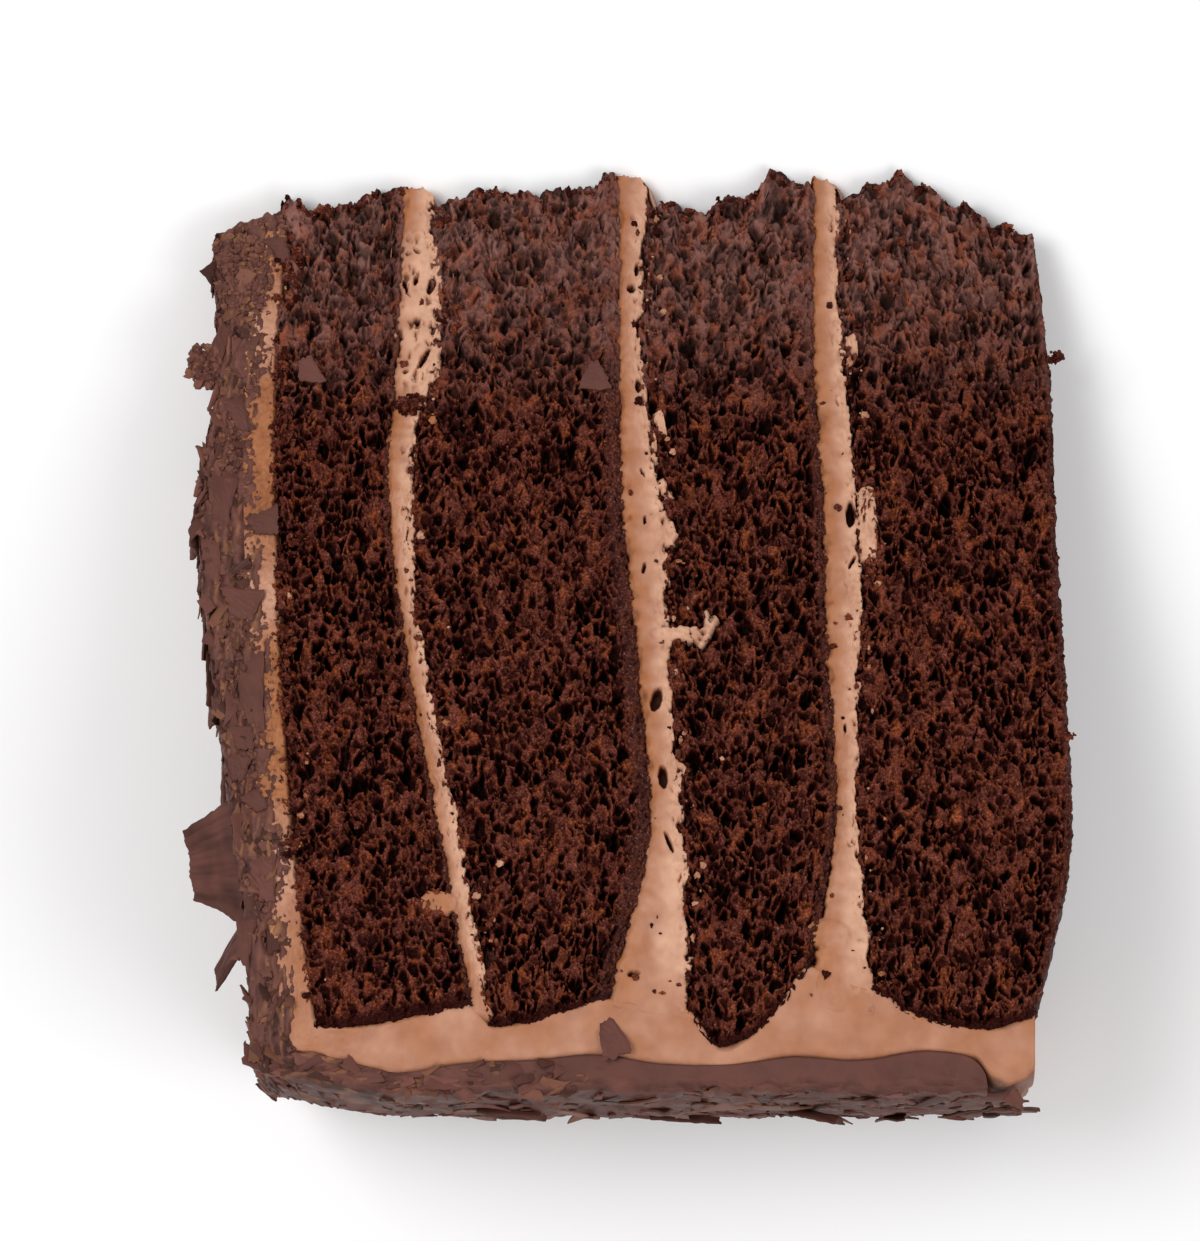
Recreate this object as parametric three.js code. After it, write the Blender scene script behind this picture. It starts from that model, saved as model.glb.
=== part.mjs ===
// A slice of tall chocolate layer cake, lying on one of its two cut faces.
//
// The whole cake is a drum: four sponge layers with three cream fillings between them, a cream coat
// over the top and round the side, and a chocolate coat over the cream, with shaved chocolate shards
// on it. The slice is a wedge of that drum, so every piece is an outline on the cut face, swept round
// the cake's axis from one cut face to the other. The underside of the cake is bare sponge.
//
// Frame: millimetres, +Z up. The cake's axis runs along X, past the slice's thin tip. The top of the
// cake faces -X, its underside faces +X, and its outer side faces -Y. The lower cut face lies flat on
// Z = 0. The origin is under the middle of the slice's box.
//
// A point of the cut face is [x, r]: x runs through the layers from the cake's mid-height, and r is
// the distance from the cake's axis. share is 0 on the lower cut face and 1 on the upper one.
import * as THREE from "three";

// Driving dimensions, in millimetres and degrees.
const CAKE_RADIUS = 127; // from the cake's axis to the outside of the chocolate coat
const CREAM_RADIUS = 122; // from the cake's axis to the outside of the cream coat
const SLICE_ANGLE = 26; // between the cut faces: a fourteenth part of the cake
const TOP_CREAM = 2.1; // thickness of the cream coat on top of the cake
const TOP_CHOCOLATE = 5.8; // thickness of the chocolate coat on top of the cake
const FOOT_CREAM = 3.6; // how far the cream swells out past the end of the chocolate coat
const EDGE_RUN = 16; // how far back from the cake's top edge the coats start to round it
const PRESSED = 0.07; // share of the angle lost where a box lid pressed the coated end flat
const PRESSED_FROM = 108; // radius where that flattening starts
const SWAY = 1.1; // how far a layer wanders in height from the upper to the lower cut face
const LUMP = 0.45; // height of the soft lumps on the upper cut face
const RAGGED = 1.3; // how far the torn tip wanders between two layer lines
const SHARD_THICKNESS = 1.1; // of a shaved chocolate shard
const SHARD_TAPER = 0.4; // share of a shard's width that is lost by its far end
const GAP = 0.3; // between neighbouring solids

// How finely the solids are faceted.
const ROWS = 20; // from the tip to the outside
const TURNS = 6; // from one cut face to the other
const SPONGE_COLUMNS = 4; // across a sponge layer
const FILLING_COLUMNS = 2; // across a filling
const SHARD_ROWS = 4; // along a shard
const SHARD_COLUMNS = 4; // across a shard

// The faces between the layers, from the top of the cake to its underside. Each is a smooth line over
// the cut face: its x at six even stations from the torn tip to the outer end, and the radii of its
// two ends.
const LAYER_LINES = [
  { x: [-44.0, -47.4, -47.4, -46.4, -44.0, -40.6], tip: 7.2, end: 118.0 }, // cream coat, sponge 1
  { x: [-30.2, -31.0, -31.8, -29.0, -24.9, -20.8], tip: 6.0, end: 116.0 }, // sponge 1, filling 1
  { x: [-26.0, -26.2, -29.2, -26.4, -22.0, -18.2], tip: 7.2, end: 117.6 }, // filling 1, sponge 2
  { x: [-2.2, -2.2, -1.8, 0.2, 1.6, -3.6], tip: 4.2, end: 115.4 }, // sponge 2, filling 2
  { x: [1.8, 0.9, 3.6, 4.7, 6.3, 7.0], tip: 6.0, end: 117.8 }, // filling 2, sponge 3
  { x: [23.4, 23.0, 24.0, 24.5, 25.3, 21.8], tip: 4.6, end: 115.6 }, // sponge 3, filling 3
  { x: [26.6, 27.1, 28.9, 28.8, 28.6, 30.6], tip: 6.4, end: 117.0 }, // filling 3, sponge 4
  { x: [49.0, 53.0, 54.2, 55.2, 55.3, 50.6], tip: 11.5, end: 117.4 }, // sponge 4, bare underside
];

// How far the outer end of each sponge layer bulges past the straight line between its corners.
const SPONGE_BULGES = [0.8, 0.5, 2.6, 1.0];

// The large shards. along is the way over the coat from the slice's tip to the shard's root, and share
// is the root's place between the cut faces. heading turns the shard on the coat, from 0 for pointing
// further along it, and tilt is how far it stands off it. curl is how far its long edges lift.
const SHARDS = [
  { along: 89.5, share: 0.93, length: 7.2, width: 15.5, heading: -90, tilt: 58, curl: 0.3 },
  { along: 97, share: 0.84, length: 7, width: 2.4, heading: -60, tilt: 40, curl: 0.2 },
  { along: 42, share: 0.8, length: 7, width: 5, heading: 20, tilt: 6, curl: 0.8 },
  { along: 62, share: 0.62, length: 10, width: 6.5, heading: 40, tilt: 4, curl: 1.1 },
  { along: 74, share: 0.3, length: 9, width: 6, heading: -25, tilt: 10, curl: 0.9 },
  { along: 30, share: 0.45, length: 7, width: 4, heading: 10, tilt: 5, curl: 0.6 },
  { along: 134, share: 0.72, length: 9, width: 6, heading: 15, tilt: 5, curl: 0.9 },
  { along: 156, share: 0.36, length: 12, width: 6.5, heading: -20, tilt: 4, curl: 1.2 },
  { along: 180, share: 0.7, length: 8, width: 5, heading: 30, tilt: 12, curl: 0.7 },
];

const COLOURS = {
  sponge: { color: 0x38170f, roughness: 0.85, metalness: 0 },
  cream: { color: 0xbd8260, roughness: 0.6, metalness: 0 },
  chocolate: { color: 0x5d382c, roughness: 0.5, metalness: 0 },
  shard: { color: 0x4a2c24, roughness: 0.4, metalness: 0 },
};

const { lerp, smoothstep, degToRad } = THREE.MathUtils;

// The layer lines as splines of [x, r].
const layerCurves = LAYER_LINES.map(
  (line) =>
    new THREE.SplineCurve(
      line.x.map(
        (x, i) =>
          new THREE.Vector2(x, lerp(line.tip, line.end, i / (line.x.length - 1))),
      ),
    ),
);

// A point of the cut face, at its share of the way round from the lower to the upper cut face.
function place([x, r], share) {
  const sway = SWAY * Math.sin(x / 13 + r / 24) * (1 - share);
  const pressed = 1 - PRESSED * smoothstep(r, PRESSED_FROM, CAKE_RADIUS);
  const angle = degToRad(SLICE_ANGLE) * share * pressed;
  const lump = LUMP * share ** 2 * Math.sin(x / 8 + 1) * Math.sin(r / 12);
  const rise = Math.max(r * Math.sin(angle) + lump, 0);
  return new THREE.Vector3(x + sway, -r * Math.cos(angle), rise);
}

// Closed geometry from a grid of points at(i, j, k), where all three indices run from 0 to their
// count: the skin of a bent box. at's axes form a right-handed set.
function boxSkin([ni, nj, nk], at) {
  const positions = [];
  const corner = (i, j, k) => positions.push(...at(i, j, k).toArray());
  const quad = (a, b, c, d) => [a, b, c, a, c, d].forEach((p) => corner(...p));
  const face = (nu, nv, pointOf) => {
    for (let u = 0; u < nu; u++) {
      for (let v = 0; v < nv; v++) {
        quad(pointOf(u, v), pointOf(u + 1, v), pointOf(u + 1, v + 1), pointOf(u, v + 1));
      }
    }
  };
  face(nj, ni, (u, v) => [v, u, 0]);
  face(ni, nj, (u, v) => [u, v, nk]);
  face(nk, nj, (u, v) => [0, v, u]);
  face(nj, nk, (u, v) => [ni, u, v]);
  face(ni, nk, (u, v) => [u, 0, v]);
  face(nk, ni, (u, v) => [v, nj, u]);
  const geometry = new THREE.BufferGeometry();
  geometry.setAttribute("position", new THREE.Float32BufferAttribute(positions, 3));
  geometry.computeVertexNormals();
  return geometry;
}

// A solid swept from cut face to cut face: across(k, i) is the outline's point in column k, row i.
function sweptSolid(name, finish, columns, rows, across) {
  const geometry = boxSkin([columns, rows, TURNS], (k, i, j) =>
    place(across(k, i), 1 - j / TURNS),
  );
  return namedMesh(name, finish, geometry);
}

function namedMesh(name, finish, geometry) {
  const mesh = new THREE.Mesh(geometry, new THREE.MeshStandardMaterial(COLOURS[finish]));
  mesh.name = name;
  return mesh;
}

// The layer between two layer lines. Its tip is ragged and its outer end bulges.
function layerPoint(index, columns, bulge, k, i) {
  const left = layerCurves[index].getPoint(i / ROWS);
  const right = layerCurves[index + 1].getPoint(i / ROWS);
  const across = k / columns;
  const hump = 4 * across * (1 - across);
  const torn = RAGGED * Math.sin(lerp(left.x, right.x, across) * 1.7) * hump;
  const along = i / ROWS;
  return [
    lerp(left.x + GAP / 2, right.x - GAP / 2, across),
    lerp(left.y, right.y, across) + lerp(torn, bulge * hump, along),
  ];
}

function spongeLayer(number) {
  const index = 2 * (number - 1);
  return sweptSolid(`sponge_${number}`, "sponge", SPONGE_COLUMNS, ROWS, (k, i) =>
    layerPoint(index, SPONGE_COLUMNS, SPONGE_BULGES[number - 1], k, i),
  );
}

function filling(number) {
  return sweptSolid(`filling_${number}`, "cream", FILLING_COLUMNS, ROWS, (k, i) =>
    layerPoint(2 * number - 1, FILLING_COLUMNS, 0, k, i),
  );
}

// The line that the two coats are laid on: over the top of sponge 1 from the tip, round the cake's
// top edge, and down the side over the ends of all the layers. bend is 0 where the coat faces the top
// of the cake and 1 where it faces the side, and along is the way covered since the tip.
function coatPath() {
  const topEdge = layerCurves[0].getPoint(1);
  const path = [];
  const add = ([x, r], bend) => {
    const last = path.at(-1);
    const along = last ? last.along + Math.hypot(x - last.x, r - last.r) : 0;
    path.push({ x, r, bend, along });
  };
  for (let i = 0; i < ROWS; i++) {
    const point = layerPoint(0, SPONGE_COLUMNS, 0, 0, i);
    add(point, 0.5 * smoothstep(point[1], topEdge.y - EDGE_RUN, topEdge.y));
  }
  for (let index = 0; index < LAYER_LINES.length - 1; index++) {
    const isSponge = index % 2 === 0;
    const columns = isSponge ? SPONGE_COLUMNS : FILLING_COLUMNS;
    const bulge = isSponge ? SPONGE_BULGES[index / 2] : 0;
    for (let k = index ? 1 : 0; k <= columns; k++) {
      const point = layerPoint(index, columns, bulge, k, ROWS);
      add(point, 0.5 + 0.5 * smoothstep(point[0], topEdge.x, topEdge.x + EDGE_RUN));
    }
  }
  return path;
}

const COAT_PATH = coatPath();
const CHOCOLATE_START = 1; // the chocolate starts one row in from the tip
const CHOCOLATE_END = COAT_PATH.length - 2; // and stops one column short of the underside

// The path moved outwards by a thickness on top and out to a radius at the side.
function coatPoint({ x, r, bend }, thickness, radius) {
  const quarter = (bend * Math.PI) / 2;
  return [x - thickness * Math.cos(quarter), r + (radius - r) * Math.sin(quarter)];
}

// A point of the chocolate coat's outside, or lifted off it.
function coatSurface(pathPoint, lift) {
  const thickness = 2 * GAP + TOP_CREAM + TOP_CHOCOLATE + lift;
  return coatPoint(pathPoint, thickness, CAKE_RADIUS + lift);
}

function creamCoat() {
  const steps = COAT_PATH.length - 1;
  return sweptSolid("cream_coat", "cream", 1, steps, (k, i) => {
    const swell = i > CHOCOLATE_END ? FOOT_CREAM : 0;
    return k === 1
      ? coatPoint(COAT_PATH[i], GAP, COAT_PATH[i].r + GAP)
      : coatPoint(COAT_PATH[i], GAP + TOP_CREAM, CREAM_RADIUS + swell);
  });
}

function chocolateCoat() {
  const steps = CHOCOLATE_END - CHOCOLATE_START;
  return sweptSolid("chocolate_coat", "chocolate", 1, steps, (k, i) => {
    const pathPoint = COAT_PATH[CHOCOLATE_START + i];
    return k === 1
      ? coatPoint(pathPoint, 2 * GAP + TOP_CREAM, CREAM_RADIUS + GAP)
      : coatSurface(pathPoint, 0);
  });
}

// The coat path's point at a distance along it.
function pathPointAt(along) {
  const next = COAT_PATH.findIndex((point) => point.along > along);
  const [from, to] = [COAT_PATH[next - 1], COAT_PATH[next]];
  const part = (along - from.along) / (to.along - from.along);
  return {
    x: lerp(from.x, to.x, part),
    r: lerp(from.r, to.r, part),
    bend: lerp(from.bend, to.bend, part),
  };
}

// A thin curled flake that is rooted just off the chocolate coat and tapers to its far end.
function shard(number, { along, share, length, width, heading, tilt, curl }) {
  const [turned, tilted] = [degToRad(heading), degToRad(tilt)];
  const thickness = SHARD_THICKNESS / Math.cos(tilted);
  const counts = [1, SHARD_ROWS, SHARD_COLUMNS];
  const geometry = boxSkin(counts, (k, i, j) => {
    const out = (i / SHARD_ROWS) * length;
    const side = (2 * j) / SHARD_COLUMNS - 1;
    const across = (side * width * (1 - (SHARD_TAPER * i) / SHARD_ROWS)) / 2;
    const flat = new THREE.Vector2(out * Math.cos(tilted), across);
    flat.rotateAround(new THREE.Vector2(), turned);
    const pathPoint = pathPointAt(along + flat.x);
    const lift = GAP + out * Math.sin(tilted) + curl * side ** 2 + k * thickness;
    const point = coatSurface(pathPoint, lift);
    return place(point, share + flat.y / (point[1] * degToRad(SLICE_ANGLE)));
  });
  return namedMesh(`chocolate_shard_${number}`, "shard", geometry);
}

const group = new THREE.Group();
for (let number = 1; number <= 4; number++) group.add(spongeLayer(number));
for (let number = 1; number <= 3; number++) group.add(filling(number));
group.add(creamCoat(), chocolateCoat());
SHARDS.forEach((size, index) => group.add(shard(index + 1, size)));

// The origin goes under the middle of the slice's box.
const box = new THREE.Box3().setFromObject(group, true);
const middle = box.getCenter(new THREE.Vector3());
group.position.set(-middle.x, -middle.y, -box.min.z);

export default group;
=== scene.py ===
"""The looks of a slice of tall chocolate layer cake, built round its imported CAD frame.

The slice lies on one cut face. Lengths are in millimetres until a mesh is made, and a point of the cut
face is (x, r): x runs through the layers from the frosted top (-X) to the bare underside (+X), and r
is the distance from the cake's axis. share is 0 on the lower cut face and 1 on the upper one.
"""
import logging
import math
from dataclasses import astuple, dataclass
from enum import Enum
from typing import Callable, ClassVar, Iterator

import bmesh
import bpy
import numpy as np
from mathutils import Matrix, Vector


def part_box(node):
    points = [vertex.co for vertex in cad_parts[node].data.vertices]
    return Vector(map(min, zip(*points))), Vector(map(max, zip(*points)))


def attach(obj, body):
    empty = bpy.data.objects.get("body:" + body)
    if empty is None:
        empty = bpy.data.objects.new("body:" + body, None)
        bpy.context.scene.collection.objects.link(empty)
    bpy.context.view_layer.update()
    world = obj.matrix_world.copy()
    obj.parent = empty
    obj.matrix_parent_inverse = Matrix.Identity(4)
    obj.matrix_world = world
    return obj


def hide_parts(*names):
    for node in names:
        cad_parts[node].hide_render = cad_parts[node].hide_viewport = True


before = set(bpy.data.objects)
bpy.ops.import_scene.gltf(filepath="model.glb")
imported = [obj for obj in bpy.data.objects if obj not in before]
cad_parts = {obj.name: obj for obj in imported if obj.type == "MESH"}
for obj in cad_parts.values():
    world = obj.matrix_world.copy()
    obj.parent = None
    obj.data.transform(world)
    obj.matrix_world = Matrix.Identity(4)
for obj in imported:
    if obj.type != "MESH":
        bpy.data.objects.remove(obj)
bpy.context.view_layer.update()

METRES = 0.001
TOP_RUN = 108.0  # how far the stations over the cake's top reach along the path under the coats
CLEAR = 0.02  # how far over the floor loose flakes and crumbs are kept
SIDE_TINT = 0.42  # the cream's tint down the cake's side
Array = np.ndarray
log = logging.getLogger("cake")


# ---------------------------------------------------------------- numbers that vary over a surface

def smoothstep(value: Array, low: float, high: float) -> Array:
    """3t^2 - 2t^3, where t is value's share of the way from low to high, kept in 0..1."""
    t = np.clip((value - low) / (high - low), 0.0, 1.0)
    return t * t * (3.0 - 2.0 * t)


def hashed(cells: Array, seed: int) -> Array:
    """Random numbers from 0 to 1 for whole-number cells.

    Args:
        cells: integer array whose last axis holds a cell's two or three numbers.
        seed: picks another set of numbers.

    Returns:
        One number a cell: its numbers times large primes, mixed by shifts and products.
    """
    primes = np.array([374761393, 668265263, 2246822519], np.uint32)
    mixed = np.full(cells.shape[:-1], (seed * 3266489917) % 2**32, np.uint32)
    for axis in range(cells.shape[-1]):
        mixed = mixed + cells[..., axis].astype(np.int64).astype(np.uint32) * primes[axis]
        mixed = (mixed ^ (mixed >> np.uint32(15))) * np.uint32(2246822519)
    mixed = (mixed ^ (mixed >> np.uint32(13))) * np.uint32(3266489917)
    return (mixed ^ (mixed >> np.uint32(16))) / np.float64(2**32)


def noise(points: Array, seed: int) -> Array:
    """Smooth noise of about -1 to 1 over the plane.

    Random gradients at whole points are blended by 6t^5 - 15t^4 + 10t^3.
    Args:
        points: array whose last axis is a point of the plane.
        seed: picks another pattern.
    """
    base = np.floor(points).astype(np.int64)
    part = points - base
    fade = part**3 * (part * (part * 6.0 - 15.0) + 10.0)
    total = np.zeros(points.shape[:-1])
    for i in (0, 1):
        for j in (0, 1):
            turn = hashed(base + np.array([i, j]), seed) * 2.0 * math.pi
            dot = np.cos(turn) * (part[..., 0] - i) + np.sin(turn) * (part[..., 1] - j)
            wx = fade[..., 0] if i else 1.0 - fade[..., 0]
            wy = fade[..., 1] if j else 1.0 - fade[..., 1]
            total += dot * wx * wy
    return total * 1.5


def fractal(points: Array, seed: int, octaves: int = 3) -> Array:
    """Noise added to itself at twice the pitch and half the height, octaves times."""
    return sum(noise(points * 2.0**k, seed + k) / 2.0**k for k in range(octaves))


def neighbours(points: Array, seed: int) -> Iterator[tuple[Array, Array]]:
    """The nine cells round each point of the plane, with the square of the way to each one's centre."""
    base = np.floor(points).astype(np.int64)
    for i in (-1, 0, 1):
        for j in (-1, 0, 1):
            cell = base + np.array([i, j])
            centre = cell + np.stack([hashed(cell, seed), hashed(cell, seed + 1)], -1)
            yield cell, ((points - centre) ** 2).sum(-1)


def pits(points: Array, seed: int, active: float, smallest: float, largest: float) -> Array:
    """How deep the plane lies in round pits, in cells: sqrt(R^2 - d^2) for the deepest pit over a point.

    Args:
        points: array whose last axis is a point of the plane, in cells.
        seed: picks another set of pits.
        active: share of the cells that hold a pit.
        smallest: smallest pit radius, in cells.
        largest: largest pit radius, in cells.
    """
    deepest = np.zeros(points.shape[:-1])
    for cell, gap in neighbours(points, seed):
        radius = smallest + (largest - smallest) * hashed(cell, seed + 3) ** 2
        radius = np.where(hashed(cell, seed + 2) < active, radius, 0.0)
        deepest = np.maximum(deepest, np.sqrt(np.clip(radius**2 - gap, 0.0, None)))
    return deepest


def foam(points: Array, seed: int) -> tuple[Array, Array]:
    """Packed cells of the plane, as the air cells of a crumb are.

    Args:
        points: array whose last axis is a point of the plane, in cells.
        seed: picks another set of cells.

    Returns:
        How far a point lies from its cell's wall, as the distance to the second nearest centre less that
        to the nearest, and the cell's own random number.
    """
    first = second = np.full(points.shape[:-1], math.inf)
    own = np.zeros(points.shape[:-1])
    for cell, gap in neighbours(points, seed):
        away = np.sqrt(gap)
        nearer = away < first
        second = np.where(nearer, first, np.minimum(second, away))
        own = np.where(nearer, hashed(cell, seed + 2), own)
        first = np.where(nearer, away, first)
    return second - first, own


def bent(points: Array, seed: int, reach: float, run: float) -> Array:
    """Points of the plane pushed about by two noises of one size."""
    return points + reach * np.stack([noise(points / run, seed), noise(points / run, seed + 1)], -1)


def spline(values: tuple[float, ...], share: Array) -> Array:
    """A Catmull-Rom curve through evenly spaced values, at shares of its length from 0 to 1."""
    last = len(values) - 1
    place = np.clip(share, 0.0, 1.0) * last
    start = np.minimum(place.astype(int), last - 1)
    t = place - start
    v = np.asarray(values, float)
    before = v[np.maximum(start - 1, 0)]
    here, there = v[start], v[start + 1]
    after = v[np.minimum(start + 2, last)]
    slope_in, slope_out = (there - before) / 2.0, (after - here) / 2.0
    cubic = (2.0 * here - 2.0 * there + slope_in + slope_out) * t**3
    square = (-3.0 * here + 3.0 * there - 2.0 * slope_in - slope_out) * t**2
    return cubic + square + slope_in * t + here


# ---------------------------------------------------------------- the slice's shape

@dataclass(frozen=True)
class LayerLine:
    """A line between two layers on the cut face: x at six even stations, and the radii of its ends."""

    x: tuple[float, ...]
    tip: float
    end: float

    def at(self, share: Array) -> tuple[Array, Array]:
        """The line's x and r at shares of its length."""
        radii = tuple(np.linspace(self.tip, self.end, len(self.x)))
        return spline(self.x, share), spline(radii, share)


LAYER_LINES = (
    LayerLine((-45.0, -46.6, -46.5, -45.4, -43.6, -40.6), 7.2, 118.0),
    LayerLine((-30.2, -31.0, -31.8, -29.0, -24.9, -20.8), 6.0, 116.0),
    LayerLine((-26.0, -26.2, -29.2, -26.4, -22.0, -18.2), 7.2, 117.6),
    LayerLine((-2.2, -2.2, -1.8, 0.2, 1.6, -3.6), 4.2, 115.4),
    LayerLine((1.8, 0.9, 3.6, 4.7, 6.3, 7.0), 6.0, 117.8),
    LayerLine((23.4, 23.0, 24.0, 24.5, 25.3, 21.8), 4.6, 115.6),
    LayerLine((26.6, 27.1, 28.9, 28.8, 28.6, 30.6), 6.4, 117.0),
    LayerLine((52.0, 53.9, 54.3, 55.2, 55.3, 50.6), 10.6, 117.4),
)


@dataclass(frozen=True)
class Wedge:
    """The space that the slice fills, with the CAD model's own sizes, in millimetres and degrees."""

    cake_radius: float = 127.0
    cream_radius: float = 122.0
    angle: float = 26.0
    top_cream: float = 2.1
    foot_cream: float = 3.6
    edge_run: float = 16.0
    pressed: float = 0.07
    pressed_from: float = 108.0
    sway: float = 1.1
    lump: float = 0.45
    gap: float = 0.3
    rows: int = 20
    turns: int = 6

    def sway_at(self, x: Array, r: Array, share: Array) -> Array:
        """How far a point wanders along X: a sine of x and r that fades towards the upper cut face."""
        return self.sway * np.sin(x / 13.0 + r / 24.0) * (1.0 - share)

    def offset(self) -> tuple[float, float]:
        """How far the frame's origin lies from the cake's axis and mid-height, from two CAD nodes."""
        rows = np.linspace(0.0, 1.0, self.rows + 1)[:, None]
        shares = np.linspace(0.0, 1.0, self.turns + 1)[None, :]
        x, r = LAYER_LINES[-1].at(rows)
        x = x - self.gap / 2.0
        reach = (x + self.sway_at(x, r, shares)).max()
        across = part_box("sponge_4")[1].x / METRES - reach
        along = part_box("chocolate_coat")[0].y / METRES + self.cake_radius
        return across, along

    def angle_at(self, r: Array, share: Array) -> Array:
        """The turn from the lower cut face in radians, a little less where the coated end is pressed."""
        kept = 1.0 - self.pressed * smoothstep(r, self.pressed_from, self.cake_radius)
        return math.radians(self.angle) * share * kept

    def place(self, x: Array, r: Array, share: Array, lift: Array | float = 0.0) -> Array:
        """Points of the slice: (x + sway, -r cos a, r sin a), lifted square to the turned face.

        Args:
            x: through the layers.
            r: from the cake's axis.
            share: from the lower to the upper cut face.
            lift: out of the face that a share of 1 gives, negative for a pit.

        Returns:
            Points in the frame, in millimetres, never below the floor.
        """
        x, r, share, lift = np.broadcast_arrays(x, r, share, lift)
        angle = self.angle_at(r, share)
        lump = self.lump * share**2 * np.sin(x / 8.0 + 1.0) * np.sin(r / 12.0)
        y = -r * np.cos(angle) + lift * np.sin(angle)
        z = r * np.sin(angle) + lump + lift * np.cos(angle)
        return np.stack(
            [x + self.sway_at(x, r, share) + OFFSET[0], y + OFFSET[1], np.maximum(z, 0.0)], -1
        )

    def height(self, r: Array) -> Array:
        """The slice's height over the floor at a radius."""
        return np.maximum(r * np.sin(self.angle_at(r, np.ones_like(r))), 0.4)

    def room(self, r: Array) -> Array:
        """How much of the relief fits at a radius: none at the thin tip, all of it over 6 mm of height."""
        return smoothstep(self.height(r), 0.5, 6.0)

    def normals(self, r: Array) -> Array:
        """Unit vectors out of the upper cut face at each radius."""
        angle = self.angle_at(r, np.ones_like(r))
        return np.stack([np.zeros_like(r), np.sin(angle), np.cos(angle)], -1)


WEDGE = Wedge()
OFFSET = WEDGE.offset()


# ---------------------------------------------------------------- meshes from grids

@dataclass
class Skin:
    """Points, quads, triangles and per-point values of one closed skin."""

    points: Array
    faces: list[Array]
    values: dict[str, Array]

    def volume(self) -> float:
        """Six times the signed volume: the sum of a . (b x c) over the faces' triangles."""
        total = 0.0
        for block in self.faces:
            for second in range(1, block.shape[1] - 1):
                a, b, c = (self.points[block[:, k]] for k in (0, second, second + 1))
                total += float((a * np.cross(b, c)).sum())
        return total

    def piece(self, name: str, material: bpy.types.Material, smooth: bool = True) -> bpy.types.Object:
        """The skin as a Blender object in metres with its faces pointing out.

        Args:
            name: the piece's name.
            material: its finish.
            smooth: whether its faces are shaded smooth.
        """
        if self.volume() < 0.0:
            self.faces = [block[:, ::-1] for block in self.faces]
        mesh = bpy.data.meshes.new(name)
        sizes = np.concatenate([np.full(len(b), b.shape[1]) for b in self.faces])
        corners = np.concatenate([b.ravel() for b in self.faces]).astype(np.int32)
        mesh.vertices.add(len(self.points))
        mesh.loops.add(len(corners))
        mesh.polygons.add(len(sizes))
        mesh.vertices.foreach_set("co", (self.points * METRES).astype(np.float32).ravel())
        mesh.loops.foreach_set("vertex_index", corners)
        starts = np.concatenate([[0], np.cumsum(sizes)[:-1]]).astype(np.int32)
        mesh.polygons.foreach_set("loop_start", starts)
        mesh.polygons.foreach_set("use_smooth", np.full(len(sizes), smooth))
        mesh.update(calc_edges=True)
        mesh.validate()
        for key, values in self.values.items():
            layer = mesh.attributes.new(key, "FLOAT", "POINT")
            layer.data.foreach_set("value", values.astype(np.float32))
        mesh.materials.append(material)
        piece = bpy.data.objects.new(name, mesh)
        bpy.context.scene.collection.objects.link(piece)
        triangles = int((sizes - 2).sum())
        log.info("%s: %d points, %d triangles", name, len(self.points), triangles)
        return piece


def grid_faces(rows: int, columns: int, start: int = 0) -> Array:
    """Quads of a grid of rows by columns points that are numbered row by row from start."""
    index = np.arange(rows * columns).reshape(rows, columns) + start
    corners = (index[:-1, :-1], index[:-1, 1:], index[1:, 1:], index[1:, :-1])
    return np.stack(corners, -1).reshape(-1, 4)


def rim_of(rows: int, columns: int) -> tuple[Array, Array]:
    """The rim of a grid, as point numbers in order, with a running place of 0..4, one whole number a side."""
    index = np.arange(rows * columns).reshape(rows, columns)
    sides = (index[0, :-1], index[:-1, -1], index[-1, :0:-1], index[:0:-1, 0])
    places = [k + np.arange(len(side)) / len(side) for k, side in enumerate(sides)]
    return np.concatenate(sides), np.concatenate(places)


def plate_faces(rows: int, columns: int) -> Array:
    """Quads of a thin plate: an upper grid that is numbered after the lower one, and the rim between them."""
    one = rows * columns
    ring, _ = rim_of(rows, columns)
    onward = np.roll(ring, -1)
    return np.concatenate([
        grid_faces(rows, columns, one),
        grid_faces(rows, columns)[:, ::-1],
        np.stack([ring, onward, onward + one, ring + one], -1),
    ])


def zipped(ring_a: Array, place_a: Array, ring_b: Array, place_b: Array) -> Array:
    """Triangles between two closed rings with unlike numbers of points.

    Each edge of one ring is joined to the point of the other that is reached once all the edges with
    an earlier middle are used.
    """
    next_a, next_b = np.roll(ring_a, -1), np.roll(ring_b, -1)
    middle_a = (place_a + np.append(place_a[1:], 4.0)) / 2.0
    middle_b = (place_b + np.append(place_b[1:], 4.0)) / 2.0
    point_b = ring_b[np.searchsorted(middle_b, middle_a, side="left") % len(ring_b)]
    point_a = ring_a[np.searchsorted(middle_a, middle_b, side="right") % len(ring_a)]
    return np.concatenate(
        [np.stack([next_a, ring_a, point_b], -1), np.stack([ring_b, next_b, point_a], -1)]
    )


Surface = Callable[[Array, Array, Array], tuple[Array, dict[str, Array]]]


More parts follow.
